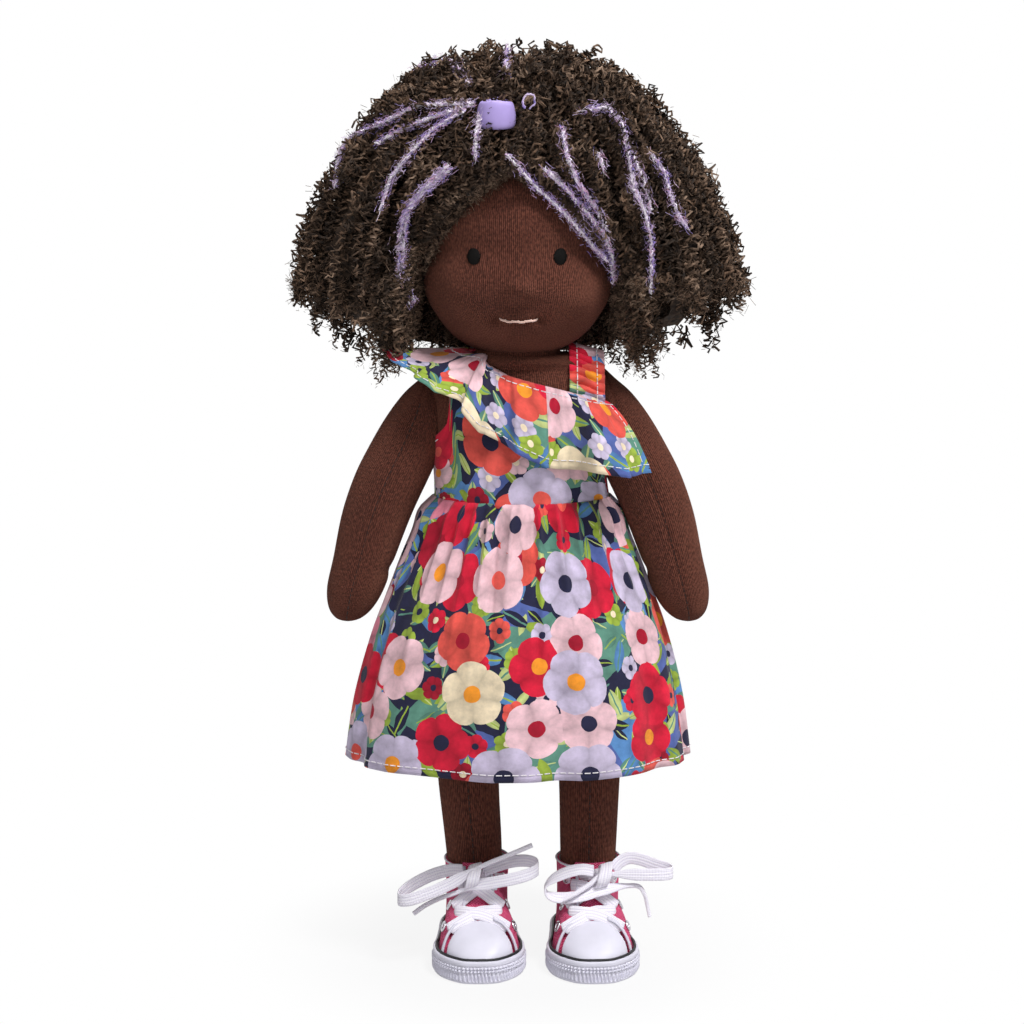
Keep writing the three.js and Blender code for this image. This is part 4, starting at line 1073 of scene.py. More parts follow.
    def upper_point(self, share: float, rise: float) -> Vector:
        """The canvas between its lower and upper edge, on the shoe's own axis.

        Args:
            share: 0 at one end of the toe cap, 0.5 at the heel, 1 at the other end.
            rise: 0 at the sole, 1 at the upper edge.

        Returns:
            The point.
        """
        low, high = self.bottom(share), self.top(share)
        ahead = ease(abs(share - 0.5) * 2, 0.42, 0.85)
        turn = rise * math.pi / 2
        inward = mix(rise**1.4, mix(rise, 1 - math.cos(turn) ** 0.9, 0.8), ahead)
        up = mix(rise, mix(rise, math.sin(turn) ** 0.95, 0.85), ahead)
        point = low.lerp(high, inward)
        point.z = mix(low.z, high.z, up)
        heel = (1 - ahead) * math.sin(math.pi * rise)
        point.y += 0.9 * heel * hill(share, 0.5, 0.2)
        point.x *= 1 - 0.04 * heel
        return point

    def roof(self, share: float, across: float) -> Vector:
        """The foot form's outside at a share from heel to toe and a share across from -1 to 1."""
        _, width, height = self.foot.at(share)
        rise = max(1 - abs(across) ** 2.5, 0) ** 0.4
        y = mix(self.heel, self.toe, self.foot.at(share)[0])
        return Vector((across * width * self.half_width, y, mix(self.base, height * self.toe_height, rise)))

    def quarters(self) -> None:
        """The canvas quarters with their lining, and the strip up the heel."""
        piece = shaped_grid(
            f"{self.side}_upper", 150, 44, lambda u, v: self.seat(*self.upper_point(u, v)), (150, 46))
        dress(piece, CANVAS, self.body, [f"{self.side}_shoe_upper"])
        piece.data.materials.append(LINING.material())
        thicken(piece, 1.1, lined=True)

        def heel_strip(u: float, v: float) -> Vector:
            """A strip up the back seam."""
            point = self.upper_point(0.5 + (u - 0.5) * 0.055, v * 0.97 + 0.015)
            return self.seat(point.x * 1.02, point.y + 0.55, point.z)

        strip = shaped_grid(f"{self.side}_heel_strip", 8, 30, heel_strip, (7, 40))
        thicken(strip, 0.6)
        dress(strip, RUBBER, self.body)

    def front_pieces(self) -> None:
        """The toe cap, the vamp under it and the tongue."""
        half = 20
        centre = Vector((0, self.cap_centre))
        reach = []
        for i in range(2 * half + 1):
            shares = np.linspace(1.0, 0.55, 240)
            places = [self.roof(share, i / half - 1).xy for share in shares]
            inside = [s for s, place in zip(shares, places) if (place - centre).length <= self.cap_radius]
            reach.append(min(inside, default=0.9))

        def cap(u: float, v: float) -> Vector:
            """The toe cap's dome, a little proud of the canvas."""
            i = round(u * 2 * half)
            across, share = i / half - 1, mix(1.0, reach[i], v)
            point = self.roof(share, across)
            crown = self.roof(share, 0.0).z + 0.5
            point.z = mix(8.6, max(crown, 9.4), max(1 - abs(across) ** 3, 0) ** 0.5)
            return self.seat(point.x * 1.02, point.y - 0.3, point.z)

        toe = shaped_grid(f"{self.side}_toe_cap", 2 * half, 26, cap, (40, 30))
        smooth = toe.modifiers.new("smooth", "SUBSURF")
        smooth.levels = smooth.render_levels = 1
        thicken(toe, 1.4)
        dress(toe, RUBBER, self.body, [f"{self.side}_shoe_toe_cap"])

        def vamp(u: float, v: float) -> Vector:
            """Canvas under the toe cap and between the quarters."""
            across = 2 * u - 1
            point = self.roof(mix(0.97, 0.6, v), across * 0.97)
            return self.seat(point.x * 0.97, point.y, point.z - 0.6 - 1.8 * across**2)

        dress(shaped_grid(f"{self.side}_vamp", 40, 24, vamp, (40, 30)), CANVAS, self.body)

        def tongue(u: float, v: float) -> Vector:
            """The tongue, lying under the lacing and standing a little over the collar."""
            z = mix(18.6, 40.4, v)
            x = (2 * u - 1) * 8.4 * (1 - 0.25 * ease(v, 0.86, 1.0) * abs(2 * u - 1) ** 3)
            return self.seat(x, self.front.by_first(z)[0] + 1.3 + 0.035 * x * x + 1.5 * ease(v, 0.75, 1), z)

        flap = shaped_grid(f"{self.side}_tongue", 24, 40, tongue, (15, 34))
        thicken(flap, 1.2)
        dress(flap, CANVAS, self.body, [f"{self.side}_shoe_tongue"])

    def edging(self) -> None:
        """White piping up both sides of the throat, and the collar's bound edge."""
        piping = Strands(f"{self.side}_piping", 0.75)
        for start, end in ((0.0, 0.24), (1.0, 0.76)):
            rise = [self.upper_point(start, i / 24) for i in range(24)]
            edge = [self.top(mix(start, end, i / 40)) for i in range(41)]
            piping.add([self.seat(p.x, p.y - 0.6, p.z + 0.3) for p in rise + edge])
        dress(piping.build([RUBBER]), None, self.body)
        collar = Strands(f"{self.side}_collar_edge", 0.5)
        collar.add([self.seat(*self.top(mix(0.24, 0.76, i / 60))) for i in range(61)])
        dress(collar.build([LINING]), None, self.body)

    def faces(self) -> BVHTree:
        """The upper and tongue, to set eyelets and lacing on."""
        corners: list[Vector] = []
        sides: list[list[int]] = []
        for name in ("upper", "tongue"):
            mesh = bpy.data.objects[f"{self.side}_{name}"].data
            start = len(corners)
            corners += [v.co.copy() for v in mesh.vertices]
            sides += [[start + i for i in p.vertices] for p in mesh.polygons]
        return BVHTree.FromPolygons(corners, sides)

    def hole(self, faces: BVHTree, sign: int, row: int) -> tuple[Vector, Vector]:
        """An eyelet's place on the canvas and the way it faces."""
        aside, height = self.eyelets[row]
        near = self.seat(sign * aside, self.front.by_first(height)[0] + 7, height)
        point, normal, *_ = faces.find_nearest(near)
        return point, normal * math.copysign(1, normal.dot(Vector((sign, -1, 0))))

    def proud(self, faces: BVHTree, points: Sequence[Vector]) -> np.ndarray:
        """How far the shoe's front stands out before points of a line, smoothed, in millimetres."""
        hits = [faces.ray_cast(at(p.x, -70, p.z), Vector((0, 1, 0)))[0] for p in points]
        out = np.array([min(hit.y / MM - p.y, 0.0) if hit else 0.0 for p, hit in zip(points, hits)])
        for _ in range(2):
            wide = np.pad(out, 1, mode="edge")
            out = np.minimum(out, np.minimum(wide[2:], wide[:-2]))
        for _ in range(2):
            out = np.convolve(np.pad(out, 1, mode="edge"), (0.25, 0.5, 0.25), mode="valid")
        return out

    def eyelet_rings(self, faces: BVHTree) -> None:
        """Six rolled metal eyelets."""
        tube, radius, lift = 0.6 * MM, 1.8 * MM, 0.35 * MM
        turns, rolls = ([FULL_TURN * i / count for i in range(count)] for count in (24, 10))

        def rim(turn: float, roll: float) -> Vector:
            """A point of an eyelet's rolled rim, about its own middle."""
            out = radius - tube * math.sin(roll)
            return Vector((out * math.cos(turn), out * math.sin(turn), tube * math.cos(roll)))

        bm = bmesh.new()
        for row in range(len(self.eyelets)):
            for sign in (-1, 1):
                point, normal = self.hole(faces, sign, row)
                seat = normal.to_track_quat("Z", "Y").to_matrix()
                middle = point + normal * lift
                rings = [[bm.verts.new(middle + seat @ rim(turn, roll)) for roll in rolls] for turn in turns]
                for here, ahead in zip(rings, rings[1:] + rings[:1]):
                    for corners in zip(here, here[1:] + here[:1], ahead[1:] + ahead[:1], ahead):
                        bm.faces.new(corners)
        bmesh.ops.recalc_face_normals(bm, faces=bm.faces)
        nodes = [f"{self.side}_eyelet_{row}_{edge}" for row in (1, 2, 3) for edge in ("inner", "outer")]
        dress(piece_from(bm, f"{self.side}_eyelets"), EYELET, self.body, nodes)

    def lacing(self, faces: BVHTree) -> None:
        """The crossings between the eyelets, each from a hole to another, lifted where it lies on top."""
        crossings = (
            ((-1, 0), (1, 1), 0.3), ((-1, 1), (1, 0), 1.3), ((-1, 1), (1, 2), 0.3), ((-1, 2), (1, 1), 1.3),
        )
        shares = np.linspace(0, 1, 13)
        arches = 1 - (2 * shares - 1) ** 2
        nodes = [f"{self.side}_lace"]
        for number, (start, end, lift) in enumerate(crossings):
            low, high = (self.hole(faces, *spot)[0] / MM for spot in (start, end))
            spots = [
                low.lerp(high, mix(0.06, 0.94, share)) + Vector((0, 0, self.instep * arch))
                for share, arch in zip(shares, arches)
            ]
            points = tuple(
                (spot.x, spot.y - DOLL_Y - 0.6 + out - (lift + 0.7) * arch, spot.z)
                for arch, spot, out in zip(arches, spots, self.proud(faces, spots))
            )
            widths = tuple((0.0, mix(0.2, 0.6, arch), 1.0) for arch in arches)
            tape = Ribbon(points, widths, self.lace_width, self.lace_thickness)
            dress(tape.build(f"{self.side}_lacing_{number + 1}", 24), LACE, self.body, nodes)
            nodes = []

    def knot(self, faces: BVHTree) -> None:
        """The lace's last runs up to the knot, its wrap and its core."""
        knot = Vector(KNOTS[self.side])
        for sign in (-1, 1):
            point, facing = self.hole(faces, sign, 2)
            start = point / MM - Vector((0, DOLL_Y, 0)) + facing * 0.7
            middle = start.lerp(knot, 0.5) + facing * 0.8
            end = knot + Vector((0, 1.0, 0))
            wide = tuple(facing.cross((end - start).normalized()))
            tape = Ribbon((tuple(start), tuple(middle), tuple(end)), (wide,) * 3, 4.4, self.lace_thickness)
            edge = "inner" if sign * self.axis < 0 else "outer"
            dress(tape.build(f"{self.side}_lacing_top_{edge}", 16), LACE, self.body)
        wrap = tuple(
            tuple(knot + Vector((1.2 * math.sin(t), -5.8 * math.cos(t) - 2.6, 4.5 * math.sin(t))))
            for t in np.linspace(-2.9, 2.9, 17)
        )
        band = Ribbon(wrap, ((1.0, 0.0, 0.28),) * len(wrap), self.lace_width, 1.1)
        dress(band.build(f"{self.side}_knot", 60), LACE, self.body)

        def core(u: float, v: float) -> Vector:
            """A small ball inside the wrap."""
            out, turn = math.sin(math.pi * v), FULL_TURN * u
            ball = (3.6 * out * math.cos(turn), 2.5 * out * math.sin(turn), 2.7 * math.cos(math.pi * v))
            return at(*(knot + Vector(ball)))

        dress(shaped_grid(f"{self.side}_knot_core", 20, 12, core, (14, 8)), LACE, self.body)

    def build(self) -> None:
        """Makes the whole shoe."""
        self.sole()
        self.quarters()
        self.front_pieces()
        self.edging()
        faces = self.faces()
        self.eyelet_rings(faces)
        self.lacing(faces)
        self.knot(faces)
        insole = bpy.data.objects[f"{self.side}_shoe_insole"]
        insole.data.materials.clear()
        insole.data.materials.append(TOPSTITCH.material())


TORSO = Track((
    (151.8, 35.9, 1.3, 6), (157.2, 37.9, 6.4, 6), (165.2, 39.5, 14.2, 5.6), (177.3, 38.6, 22, 4.2),
    (193, 35, 25, 1.8), (210, 34.5, 25.5, 0.6), (225, 36.4, 24, 0), (236, 37.5, 20.5, 0),
    (243, 37, 18.45, 0), (248.4, 34.1, 16.4, 0), (251.7, 28, 19.4, 0), (254, 20.8, 18.7, 0),
    (255, 18.8, 17.6, 0),
))


def torso_point(turn: float, z: float, swell: float = 0.0) -> Vector:
    """A point of the torso in doll millimetres.

    Args:
        turn: Angle about Z in radians, the front at -90 degrees.
        z: Height.
        swell: How far outside the skin.

    Returns:
        The point.
    """
    width, depth, x = TORSO.by_first(z)
    return Vector((x + (width + swell) * math.cos(turn), (depth + swell) * math.sin(turn), z))


@dataclass
class Body:
    """Knitted skin over wool: torso, neck, arms, legs and the hip seam."""

    arm: Track = Track((
        (1, 0.02, 0.02, 1), (0.985, 0.35, 0.36, 0.99), (0.94, 0.62, 0.64, 0.96), (0.86, 0.79, 0.8, 0.9),
        (0.74, 0.84, 0.86, 0.8), (0.57, 0.94, 0.95, 0.65), (0.42, 1, 1, 0.47), (0.3, 0.98, 0.99, 0.3),
        (0.19, 0.86, 0.9, 0.16), (0.1, 0.58, 0.66, 0.08), (0.04, 0.24, 0.3, 0.03), (0, 0.02, 0.02, 0),
    ))
    leg: Track = Track((
        (6, 0.1, 0.1, 1.4), (6.4, 6.1, 5.5, 1.4), (8.5, 8.6, 7.7, 1.4), (15, 10, 9, 1.4),
        (39, 11.6, 10.8, 1.4), (72, 12.7, 11.9, 0), (113, 14.5, 12.5, 0), (131.2, 14.4, 10, 0),
        (141.2, 13.6, 5, 0), (148.2, 12.2, 1.2, 0), (148.8, 0.1, 0.1, 0),
    ))
    shoulder_level: float = 248.0
    arm_length: float = 105.0
    arm_seam: float = 6.0
    hip_level: float = 150.0
    fill: float = 0.85

    def torso(self) -> None:
        """The torso, closed top and bottom."""
        low, high = TORSO.rows[0][0], TORSO.rows[-1][0]

        def place(u: float, v: float) -> Vector:
            """The torso's surface."""
            z = mix(low, high, v)
            if v in (0.0, 1.0):
                return at(TORSO.by_first(z)[2], 0, z + (0.8 if v else -0.3))
            return at(*torso_point(math.pi / 2 + FULL_TURN * u, z))

        piece = shaped_grid("torso_body", 120, 96, place, (210, 112))
        dress(piece, SKIN, "torso", ["torso_skin", "torso_stuffing"])

        def neck(u: float, v: float) -> Vector:
            """A short soft neck up into the chin."""
            turn = FULL_TURN * u
            radius = 0.0 if v in (0.0, 1.0) else mix(17.2, 15.0, v) + 1.2 * abs(2 * v - 1) ** 3
            return at(radius * 1.06 * math.cos(turn), radius * math.sin(turn), mix(248.0, 266.0, v))

        piece = shaped_grid("neck_body", 72, 20, neck, (105, 20))
        dress(piece, SKIN, "neck", ["neck_stem", "neck_tie"])

        def roll(u: float, v: float) -> Vector:
            """The rolled seam that the legs are sewn to, whipped with thread."""
            turn = FULL_TURN * u
            x = mix(-30.5, 42.5, v)
            radius = 0.02 if v in (0.0, 1.0) else 1.45 + 0.12 * math.sin(x * FULL_TURN / 2.2)
            return at(x, radius * math.cos(turn), self.hip_level + radius * math.sin(turn))

        piece = shaped_grid("hip_seam", 12, 140, roll, (9, 74))
        dress(piece, SKIN, "hip_seam", ["hip_seam_roll"])

    def arm_point(self, sign: int, turn: float, share: float) -> Vector:
        """A point of an arm in doll millimetres.

        Args:
            sign: 1 for the left arm, -1 for the right.
            turn: Angle about the arm, the front at -90 degrees.
            share: 0 at the hand, 1 at the shoulder.

        Returns:
            The point.
        """
        fall, width, depth, out = self.arm.at(share)
        taper = ease(fall, 0.42, 0.86)
        half = max(width, 0.0) * mix(31, 24 / 0.79, taper) / 2
        deep = max(depth, 0.0) * mix(27, 22 / 0.8, taper) / 2
        ahead = math.degrees(math.remainder(turn + math.pi / 2, FULL_TURN))
        seam = 0.55 * hill(ahead, self.arm_seam * sign, 5)
        wrist = 0.9 * hill(fall, 0.79, 0.025) * max(-sign * math.cos(turn), 0)
        x = sign * mix(35, 70.5, out) + max(half - wrist - seam, 0.0) * math.cos(turn)
        y = -5 * fall + max(deep - seam, 0.0) * math.sin(turn)
        return Vector((x, y, self.shoulder_level - self.arm_length * fall))

    def leg_point(self, side: str, turn: float, share: float) -> Vector:
        """A point of a leg in doll millimetres.

        Args:
            side: Which leg.
            turn: Angle about the leg, the front at -90 degrees.
            share: 0 in the shoe, 1 at the hip.

        Returns:
            The point.
        """
        z, width, depth, y = self.leg.at(share)
        seam = 0.45 * hill(math.degrees(math.remainder(turn + math.pi / 2, FULL_TURN)), 0, 5)
        lean = -3.4 * hill(z, 84, 36) if side == "right" else 0.5 * hill(z, 80, 34)
        x = LEG_AXES[side] + lean + max(width - seam, 0.0) * math.cos(turn)
        return Vector((x, y + max(depth - seam, 0.0) * math.sin(turn), z))

    def limb(
        self, name: str, point: Place, columns: int, cloth: tuple[float, float], seam: Sequence[Vector]
    ) -> None:
        """One stuffed limb with the sewn seam down its front.

        Args:
            name: The limb's body.
            point: Gives the point at an angle and a share along, in doll millimetres.
            columns: Faces round it.
            cloth: Width and length of its flat cloth in millimetres.
            seam: Points of the seam, in doll millimetres.
        """
        piece = shaped_grid(
            f"{name}_body", columns, 90, lambda u, v: at(*point(math.pi / 2 + FULL_TURN * u, v)), cloth)
        dress(piece, SKIN, name, [f"{name}_skin", f"{name}_stuffing"])
        stitches = Strands(f"{name}_seam", 0.2)
        stitches.sew([at(*spot) for spot in seam], 1.9, 0.8, 0.15)
        dress(stitches.build([SEAM]), None, name)

    def arms(self) -> None:
        """Both arms."""
        for side, sign in SIDES.items():
            turn = math.radians(-90 + self.arm_seam * sign)
            seam = [self.arm_point(sign, turn, mix(0.06, 0.8, i / 60)) for i in range(61)]
            self.limb(f"{side}_arm", partial(self.arm_point, sign), 96, (88, 118), seam)

    def legs(self) -> None:
        """Both legs, down into the shoes."""
        for side in SIDES:
            seam = [self.leg_point(side, -math.pi / 2, mix(0.4, 0.78, i / 50)) for i in range(51)]
            self.limb(f"{side}_leg", partial(self.leg_point, side), 80, (80, 150), seam)

    def build(self) -> None:
        """Makes the whole body but the head."""
        self.torso()
        self.arms()
        self.legs()


@dataclass
class Head:
    """The stuffed head with its stitched face. Millimetres."""

    base: float = 257.2
    height: float = 84.0
    half: float = 39.0
    eye_aside: dict[str, float] = field(default_factory=lambda: {"left": 17.4, "right": -18.4})
    eye_level: float = 295.2
    mouth_level: float = 269.6
    shares: Track = Track((
        (-0.03, 0.02), (-0.028, 0.3), (-0.012, 0.46), (0.03, 0.62), (0.08, 0.74), (0.14, 0.84),
        (0.23, 0.95), (0.34, 1), (0.54, 0.975), (0.7, 0.89), (0.83, 0.74), (0.93, 0.5), (0.98, 0.27), (1, 0),
    ))
    eye_half_height: float = 3.1
    eye_half_width: float = 2.4
    mouth_half: float = 7.7

    def radius(self, z: float) -> float:
        """Half the head's width at a height."""
        return self.half * self.shares.by_first((z - self.base) / self.height)[0]

    def relief(self, x: float, z: float) -> float:
        """How far the face stands out or dips at a place on its front."""
        nose = 5.2 * hill(x, 0.6, 4.6) * hill(z, self.base + 26.0, 4.6)
        nose -= 1.8 * hill(x, 0.6, 9) * hill(z, self.base + 18.4, 3)
        line = -2.6 * hill(z, self.eye_level + 2, 6.5) * (1 - 0.5 * hill(x, 0, 9))
        cheeks = 2.0 * (hill(x, 21, 9) + hill(x, -21, 9)) * hill(z, 279, 8)
        corners = -3.2 * (hill(x, 9.4, 2.4) + hill(x, -9.4, 2.4)) * hill(z, self.mouth_level + 1, 2.2)
        mouth = -0.45 * hill(z, self.mouth_level, 1.4) * (1 - ease(abs(x), 7, 9))
        return nose + line + cheeks + corners + mouth

    def front(self, x: float, z: float, lift: float = 0.0) -> Vector:
        """A point on the face in doll millimetres, a little off the skin."""
        radius = self.radius(z)
        out = radius + self.relief(x, z) + lift
        turn = math.asin(min(max(x / radius, -1), 1))
        return Vector((out * math.sin(turn), -out * math.cos(turn), z))

    def eye(self, side: str) -> None:
        """One eye of upright stitches that swell in the middle."""
        stitches = Strands(f"{side}_eye_stitches", 0.42)
        for aside in (-1 + i / 6 for i in range(13)):
            half = self.eye_half_height * math.sqrt(max(1 - (aside * 0.96) ** 2, 0.02))
            line = []
            for along in (-1 + j / 4 for j in range(9)):
                lift = 0.15 + 0.9 * (1 - along**2) * (1 - 0.5 * aside**2)
                lean = 0.12 * SIDES[side] * along * half
                x = self.eye_aside[side] + aside * self.eye_half_width + lean
                line.append(at(*self.front(x, self.eye_level + along * half, lift)))
            stitches.add(line)
        dress(stitches.build([EYES]), None, "head", [f"{side}_eye"])

    def mouth(self) -> None:
        """The mouth's six overlapping stitches, whose ends go into the skin."""
        thread = Strands("mouth_thread", 0.48)
        for i in range(6):
            start = mix(-self.mouth_half, self.mouth_half, i / 6)
            line = []
            for j in range(6):
                x = start + 2.9 * j / 5
                ending = j in (0, 5)
                curve = (x / 8) ** 2 + (0.25 if ending else 0.0)
                z = self.mouth_level - 0.2 + curve + 0.12 * (-1) ** i
                line.append(at(*self.front(x, z, 0.1 if ending else 0.55)))
            thread.add(line)
        dress(thread.build([LIP]), None, "head", ["mouth_stitch"])

    def build(self) -> None:
        """The head, the eyes and the mouth."""

        def place(u: float, v: float) -> Vector:
            """The head's surface, its seam at the back."""
            rise, share = self.shares.at(v)
            turn = FULL_TURN * (u - 0.5)
            radius = max(share, 0) * self.half
            x, z = radius * math.sin(turn), self.base + rise * self.height
            facing = ease(math.cos(turn), 0.1, 0.4)
            radius += self.relief(x, z) * facing * min(share * 2, 1)
            return at(radius * math.sin(turn), -radius * math.cos(turn), z)

        piece = shaped_grid("head_body", 170, 110, place, (245, 122))
        dress(piece, SKIN, "head", ["head_skin", "head_wool_core"])
        for side in SIDES:
            self.eye(side)
        self.mouth()


@dataclass(frozen=True)
class RuffleLength:
    """One length of the ruffle, from one angle to another, and the arm that it lies on."""

    side: str
    start: float
    end: float
    side_hem: float
    still: Row
    moved: Row
    nodes: tuple[str, ...]
    columns: int
    flat: float


RUFFLE = (
    RuffleLength("right", -74.0, -330.0, -327.8, (-22, 0, 248), (-50, 0, 243), ("dress_ruffle",), 330, 200),
    RuffleLength("left", -30.0, -74.0, -32.2, (22, -20, 238), (50, -20, 238), (), 70, 47),
)


@dataclass
class Dress:
    """A one-shoulder printed dress: bodice, gathered skirt, ruffle and ruched strap. Millimetres."""

    waist: float = 195.4
    hem: float = 86.0
    neckline: float = 245.2
    slope: float = 0.27
    rise: float = 0.3
    thickness: float = 0.5
    armhole_level: float = 234.0
    armhole_radius: float = 15.5
    ruffle_width: float = 32.0
    flare: Track = Track((
        (0, 0), (0.09, 0.14), (0.27, 0.4), (0.5, 0.68), (0.76, 0.89), (1, 1),
    ))

    def neck_height(self, x: float) -> float:
        """Height of the slanting neckline at a place across the chest."""
        return self.neckline - self.slope * x + self.rise * max(-x - 4, 0)

    def bodice(self) -> None:
        """The fitted bodice, dipping under the arms, with a stitched armhole."""

        def top(turn: float) -> float:
            """Height of the bodice's upper edge at an angle."""
            z = 240.0
            for _ in range(4):
                z = min(self.neck_height(torso_point(turn, z).x), 252.0)
            point = torso_point(turn, self.armhole_level)
            if abs(point.x) <= 20:
                return z
            under = self.armhole_level - math.sqrt(max(self.armhole_radius**2 - point.y**2, 0))
            return mix(z, min(z, under), ease(self.armhole_radius - abs(point.y), -0.5, 1.5))

        def place(u: float, v: float) -> Vector:
            """The bodice's outside."""
            turn = math.pi / 2 + FULL_TURN * u
            z = mix(193.6, top(turn), v)
            pull = 0.25 * math.sin(turn * 23 + 2 * math.sin(turn * 5)) * (1 - v) ** 2
            return at(*torso_point(turn, z, 1.3 + pull))

        piece = shaped_grid("bodice_cloth", 160, 40, place, (222, 52))
        thicken(piece, self.thickness)
        dress(piece, PRINT, "torso", ["dress_bodice"])
        seam = Strands("armhole_stitches", 0.22)
        for start in (150, 330):
            turns = [math.radians(start + 60 * i / 80) for i in range(81)]
            seam.sew([at(*torso_point(turn, top(turn) - 2.2, 1.55)) for turn in turns])
        dress(seam.build([TOPSTITCH]), None, "torso")

    def skirt_point(self, u: float, fall: float, lift: float = 0.0) -> Vector:
        """A point of the skirt in doll millimetres.

        Args:
            u: Share round from the back.
            fall: 0 at the waist, 1 at the hem.
            lift: How far off the cloth, outwards.

        Returns:
            The point.
        """
        turn = math.pi / 2 + FULL_TURN * u
        flare = self.flare.by_first(min(max(fall, 0), 1))[0]
        width, depth = mix(36.4, 71.2, flare), mix(26.6, 48.6, flare)
        wander = turn * 31 + 1.4 * math.sin(turn * 3 + 0.6) + 1.1 * math.sin(turn * 7 + 2)
        gather = (1.0 - abs(math.sin(wander / 2)) ** 0.8) * 2 - 1
        slow = turn * 10 + 1.2 * math.sin(turn * 2 + 0.4) + 0.8 * math.sin(turn * 5 + 1)
        fold = math.sin(slow) + 0.35 * math.sin(slow * 2 + 1)
        out = 2.0 * gather * (1 - ease(fall, 0.04, 0.55)) * ease(fall, -0.02, 0.05)
        out += 1.5 * fold * ease(fall, 0.1, 0.8)
        out += 0.5 * gather * (1 - ease(fall, 0.4, 1.0)) * ease(fall, 0.3, 0.5)
        x = mix(1.7, 0, flare) + width * math.cos(turn)
        for middle in (-9.0, 6.5):
            if math.sin(turn) < 0:
                out -= 1.2 * hill(x - middle * (1 + 0.5 * fall), 0, 1.3) * (1 - ease(fall, 0.5, 0.66))
        out += lift
        outward = Vector((math.cos(turn) / width, math.sin(turn) / depth, 0)).normalized()
        puff = 1.6 * hill(fall, 0.06, 0.05)
        return Vector((x, depth * math.sin(turn), mix(self.waist, self.hem, fall))) + outward * (out + puff)

    def skirt(self) -> None:
        """The gathered skirt with its stitched hem."""
        piece = shaped_grid("skirt_cloth", 420, 48, lambda u, v: at(*self.skirt_point(u, 1 - v)), (400, 114))
        thicken(piece, self.thickness)
        hem = Strands("skirt_hem_stitches", 0.24)
        hem.sew([at(*self.skirt_point(i / 600, 0.972, 0.2)) for i in range(601)], 2.4, 0.9)
        stitches = hem.build([TOPSTITCH])
        dress(piece, PRINT, "torso", ["dress_skirt"])
        dress(stitches, None, "torso")
        for cloth in (piece, stitches):
            at(0, 0, self.waist)
            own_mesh(cloth)

    def ruffle_point(self, degrees: float, fall: float, lift: float = 0.0) -> Vector:
        """A point of the ruffle in doll millimetres.

        Args:
            degrees: Angle about the body: -90 is the front, -180 the right shoulder.
            fall: 0 at the neckline, 1 at the hem.
            lift: How far off the cloth, outwards.

        Returns:
            The point.
        """
        turn = math.radians(degrees)
        z = 244.0
        for _ in range(5):
            z = min(self.neck_height(torso_point(turn, z, 1.9).x) + 0.4, 257.4)
        seat = torso_point(turn, z, 2.2)
        width, depth, _ = TORSO.by_first(z)
        outward = Vector((math.cos(turn) / width, math.sin(turn) / depth, 0)).normalized()
        shoulder = hill(degrees, -177, 57)
        ends = ease(abs(degrees + 180), 105, 150)
        reach = 9 + 24.5 * shoulder + 22 * ends
        drop = 32.5 - 32 * shoulder - 4.5 * ends
        wander = turn * 12 + 0.9 * math.sin(turn * 3 + 1)
        pleat = (math.tanh(4.0 * math.sin(wander)) + 0.35 * math.sin(wander * 2 + 0.8)) * (1 - 0.8 * shoulder)
        gather = 0.5 * math.sin(turn * 70 + 2 * math.sin(turn * 11)) * (1 - ease(fall, 0.05, 0.4))
        out = reach * fall**0.75 + pleat * (0.4 + 2.9 * fall) + gather + 1.2 * math.sin(math.pi * fall) + lift
        down = drop * fall**1.15 - 0.7 * math.cos(wander) * fall
        return seat + outward * out - Vector((0, 0, down))

    def ruffle(self) -> None:
        """The ruffle, in two lengths that meet at the front, one for each arm that it lies on."""
        for part in RUFFLE:
            piece = shaped_grid(
                f"ruffle_{part.side}_cloth", part.columns, 22,
                lambda u, v: at(*self.ruffle_point(mix(part.start, part.end, u), 1 - v)),
                (part.flat, self.ruffle_width))
            thicken(piece, 0.45)
            stitches = Strands(f"ruffle_{part.side}_stitches", 0.22)
            turns = [mix(part.start, part.end, i / 300) for i in range(301)]
            for fall, lift in ((0.1, 0.15), (0.9, 0.2)):
                stitches.sew([at(*self.ruffle_point(turn, fall, lift)) for turn in turns])
            falls = [mix(0.12, 0.9, i / 40) for i in range(41)]
            stitches.sew([at(*self.ruffle_point(part.side_hem, fall, 0.2)) for fall in falls])
            trim = stitches.build([TOPSTITCH])
            dress(piece, PRINT, None, part.nodes)
            dress(trim, None, None)
            for cloth in (piece, trim):
                at(*part.still)
                at(*part.moved)
                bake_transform(cloth)

    def strap(self) -> None:
        """The ruched strap over the left shoulder, drawn in along two white lines."""
        ridge = Track((
            (-17.2, 232), (-16.2, 238), (-13.4, 245), (-8.4, 251), (0, 254), (8.4, 251), (13.4, 245),
            (16.2, 238), (17.2, 232),
        ))
        inner_edge, middle, outer_edge = 20.8, 29.5, 35.2
        run_length, pucker_pitch = 66, 3.9

        def place(u: float, v: float, lift: float = 0.0) -> Vector:
            """The strap's outside."""
            y, z = ridge.at(v)
            x = mix(inner_edge, outer_edge, u)
            run = v * run_length
            wave = math.sin(run * math.pi / pucker_pitch + 0.5 * math.sin(u * 6 + run / 5))
            swell = 0.2 + 2.3 * abs(wave) ** 0.7 + lift
            lean = 1 - ease(x, 30, 37) * 0.16
            out = Vector((0, y / 17, (z - 232) / 22)).normalized()
            return at(x, y * lean + out.y * swell, z - (x - middle) * 0.28 + out.z * swell)

        piece = shaped_grid("strap_cloth", 26, 200, place, (14.4, 104))
        thicken(piece, self.thickness)
        dress(piece, PRINT, "torso", ["dress_strap"])
        lines = Strands("strap_stitches", 0.24)
        for u in (0.22, 0.78):
            lines.sew([place(u, mix(0.02, 0.98, i / 200), 0.3) for i in range(201)], 2.0, 0.8)
        trim = dress(lines.build([TOPSTITCH]), None, "torso")

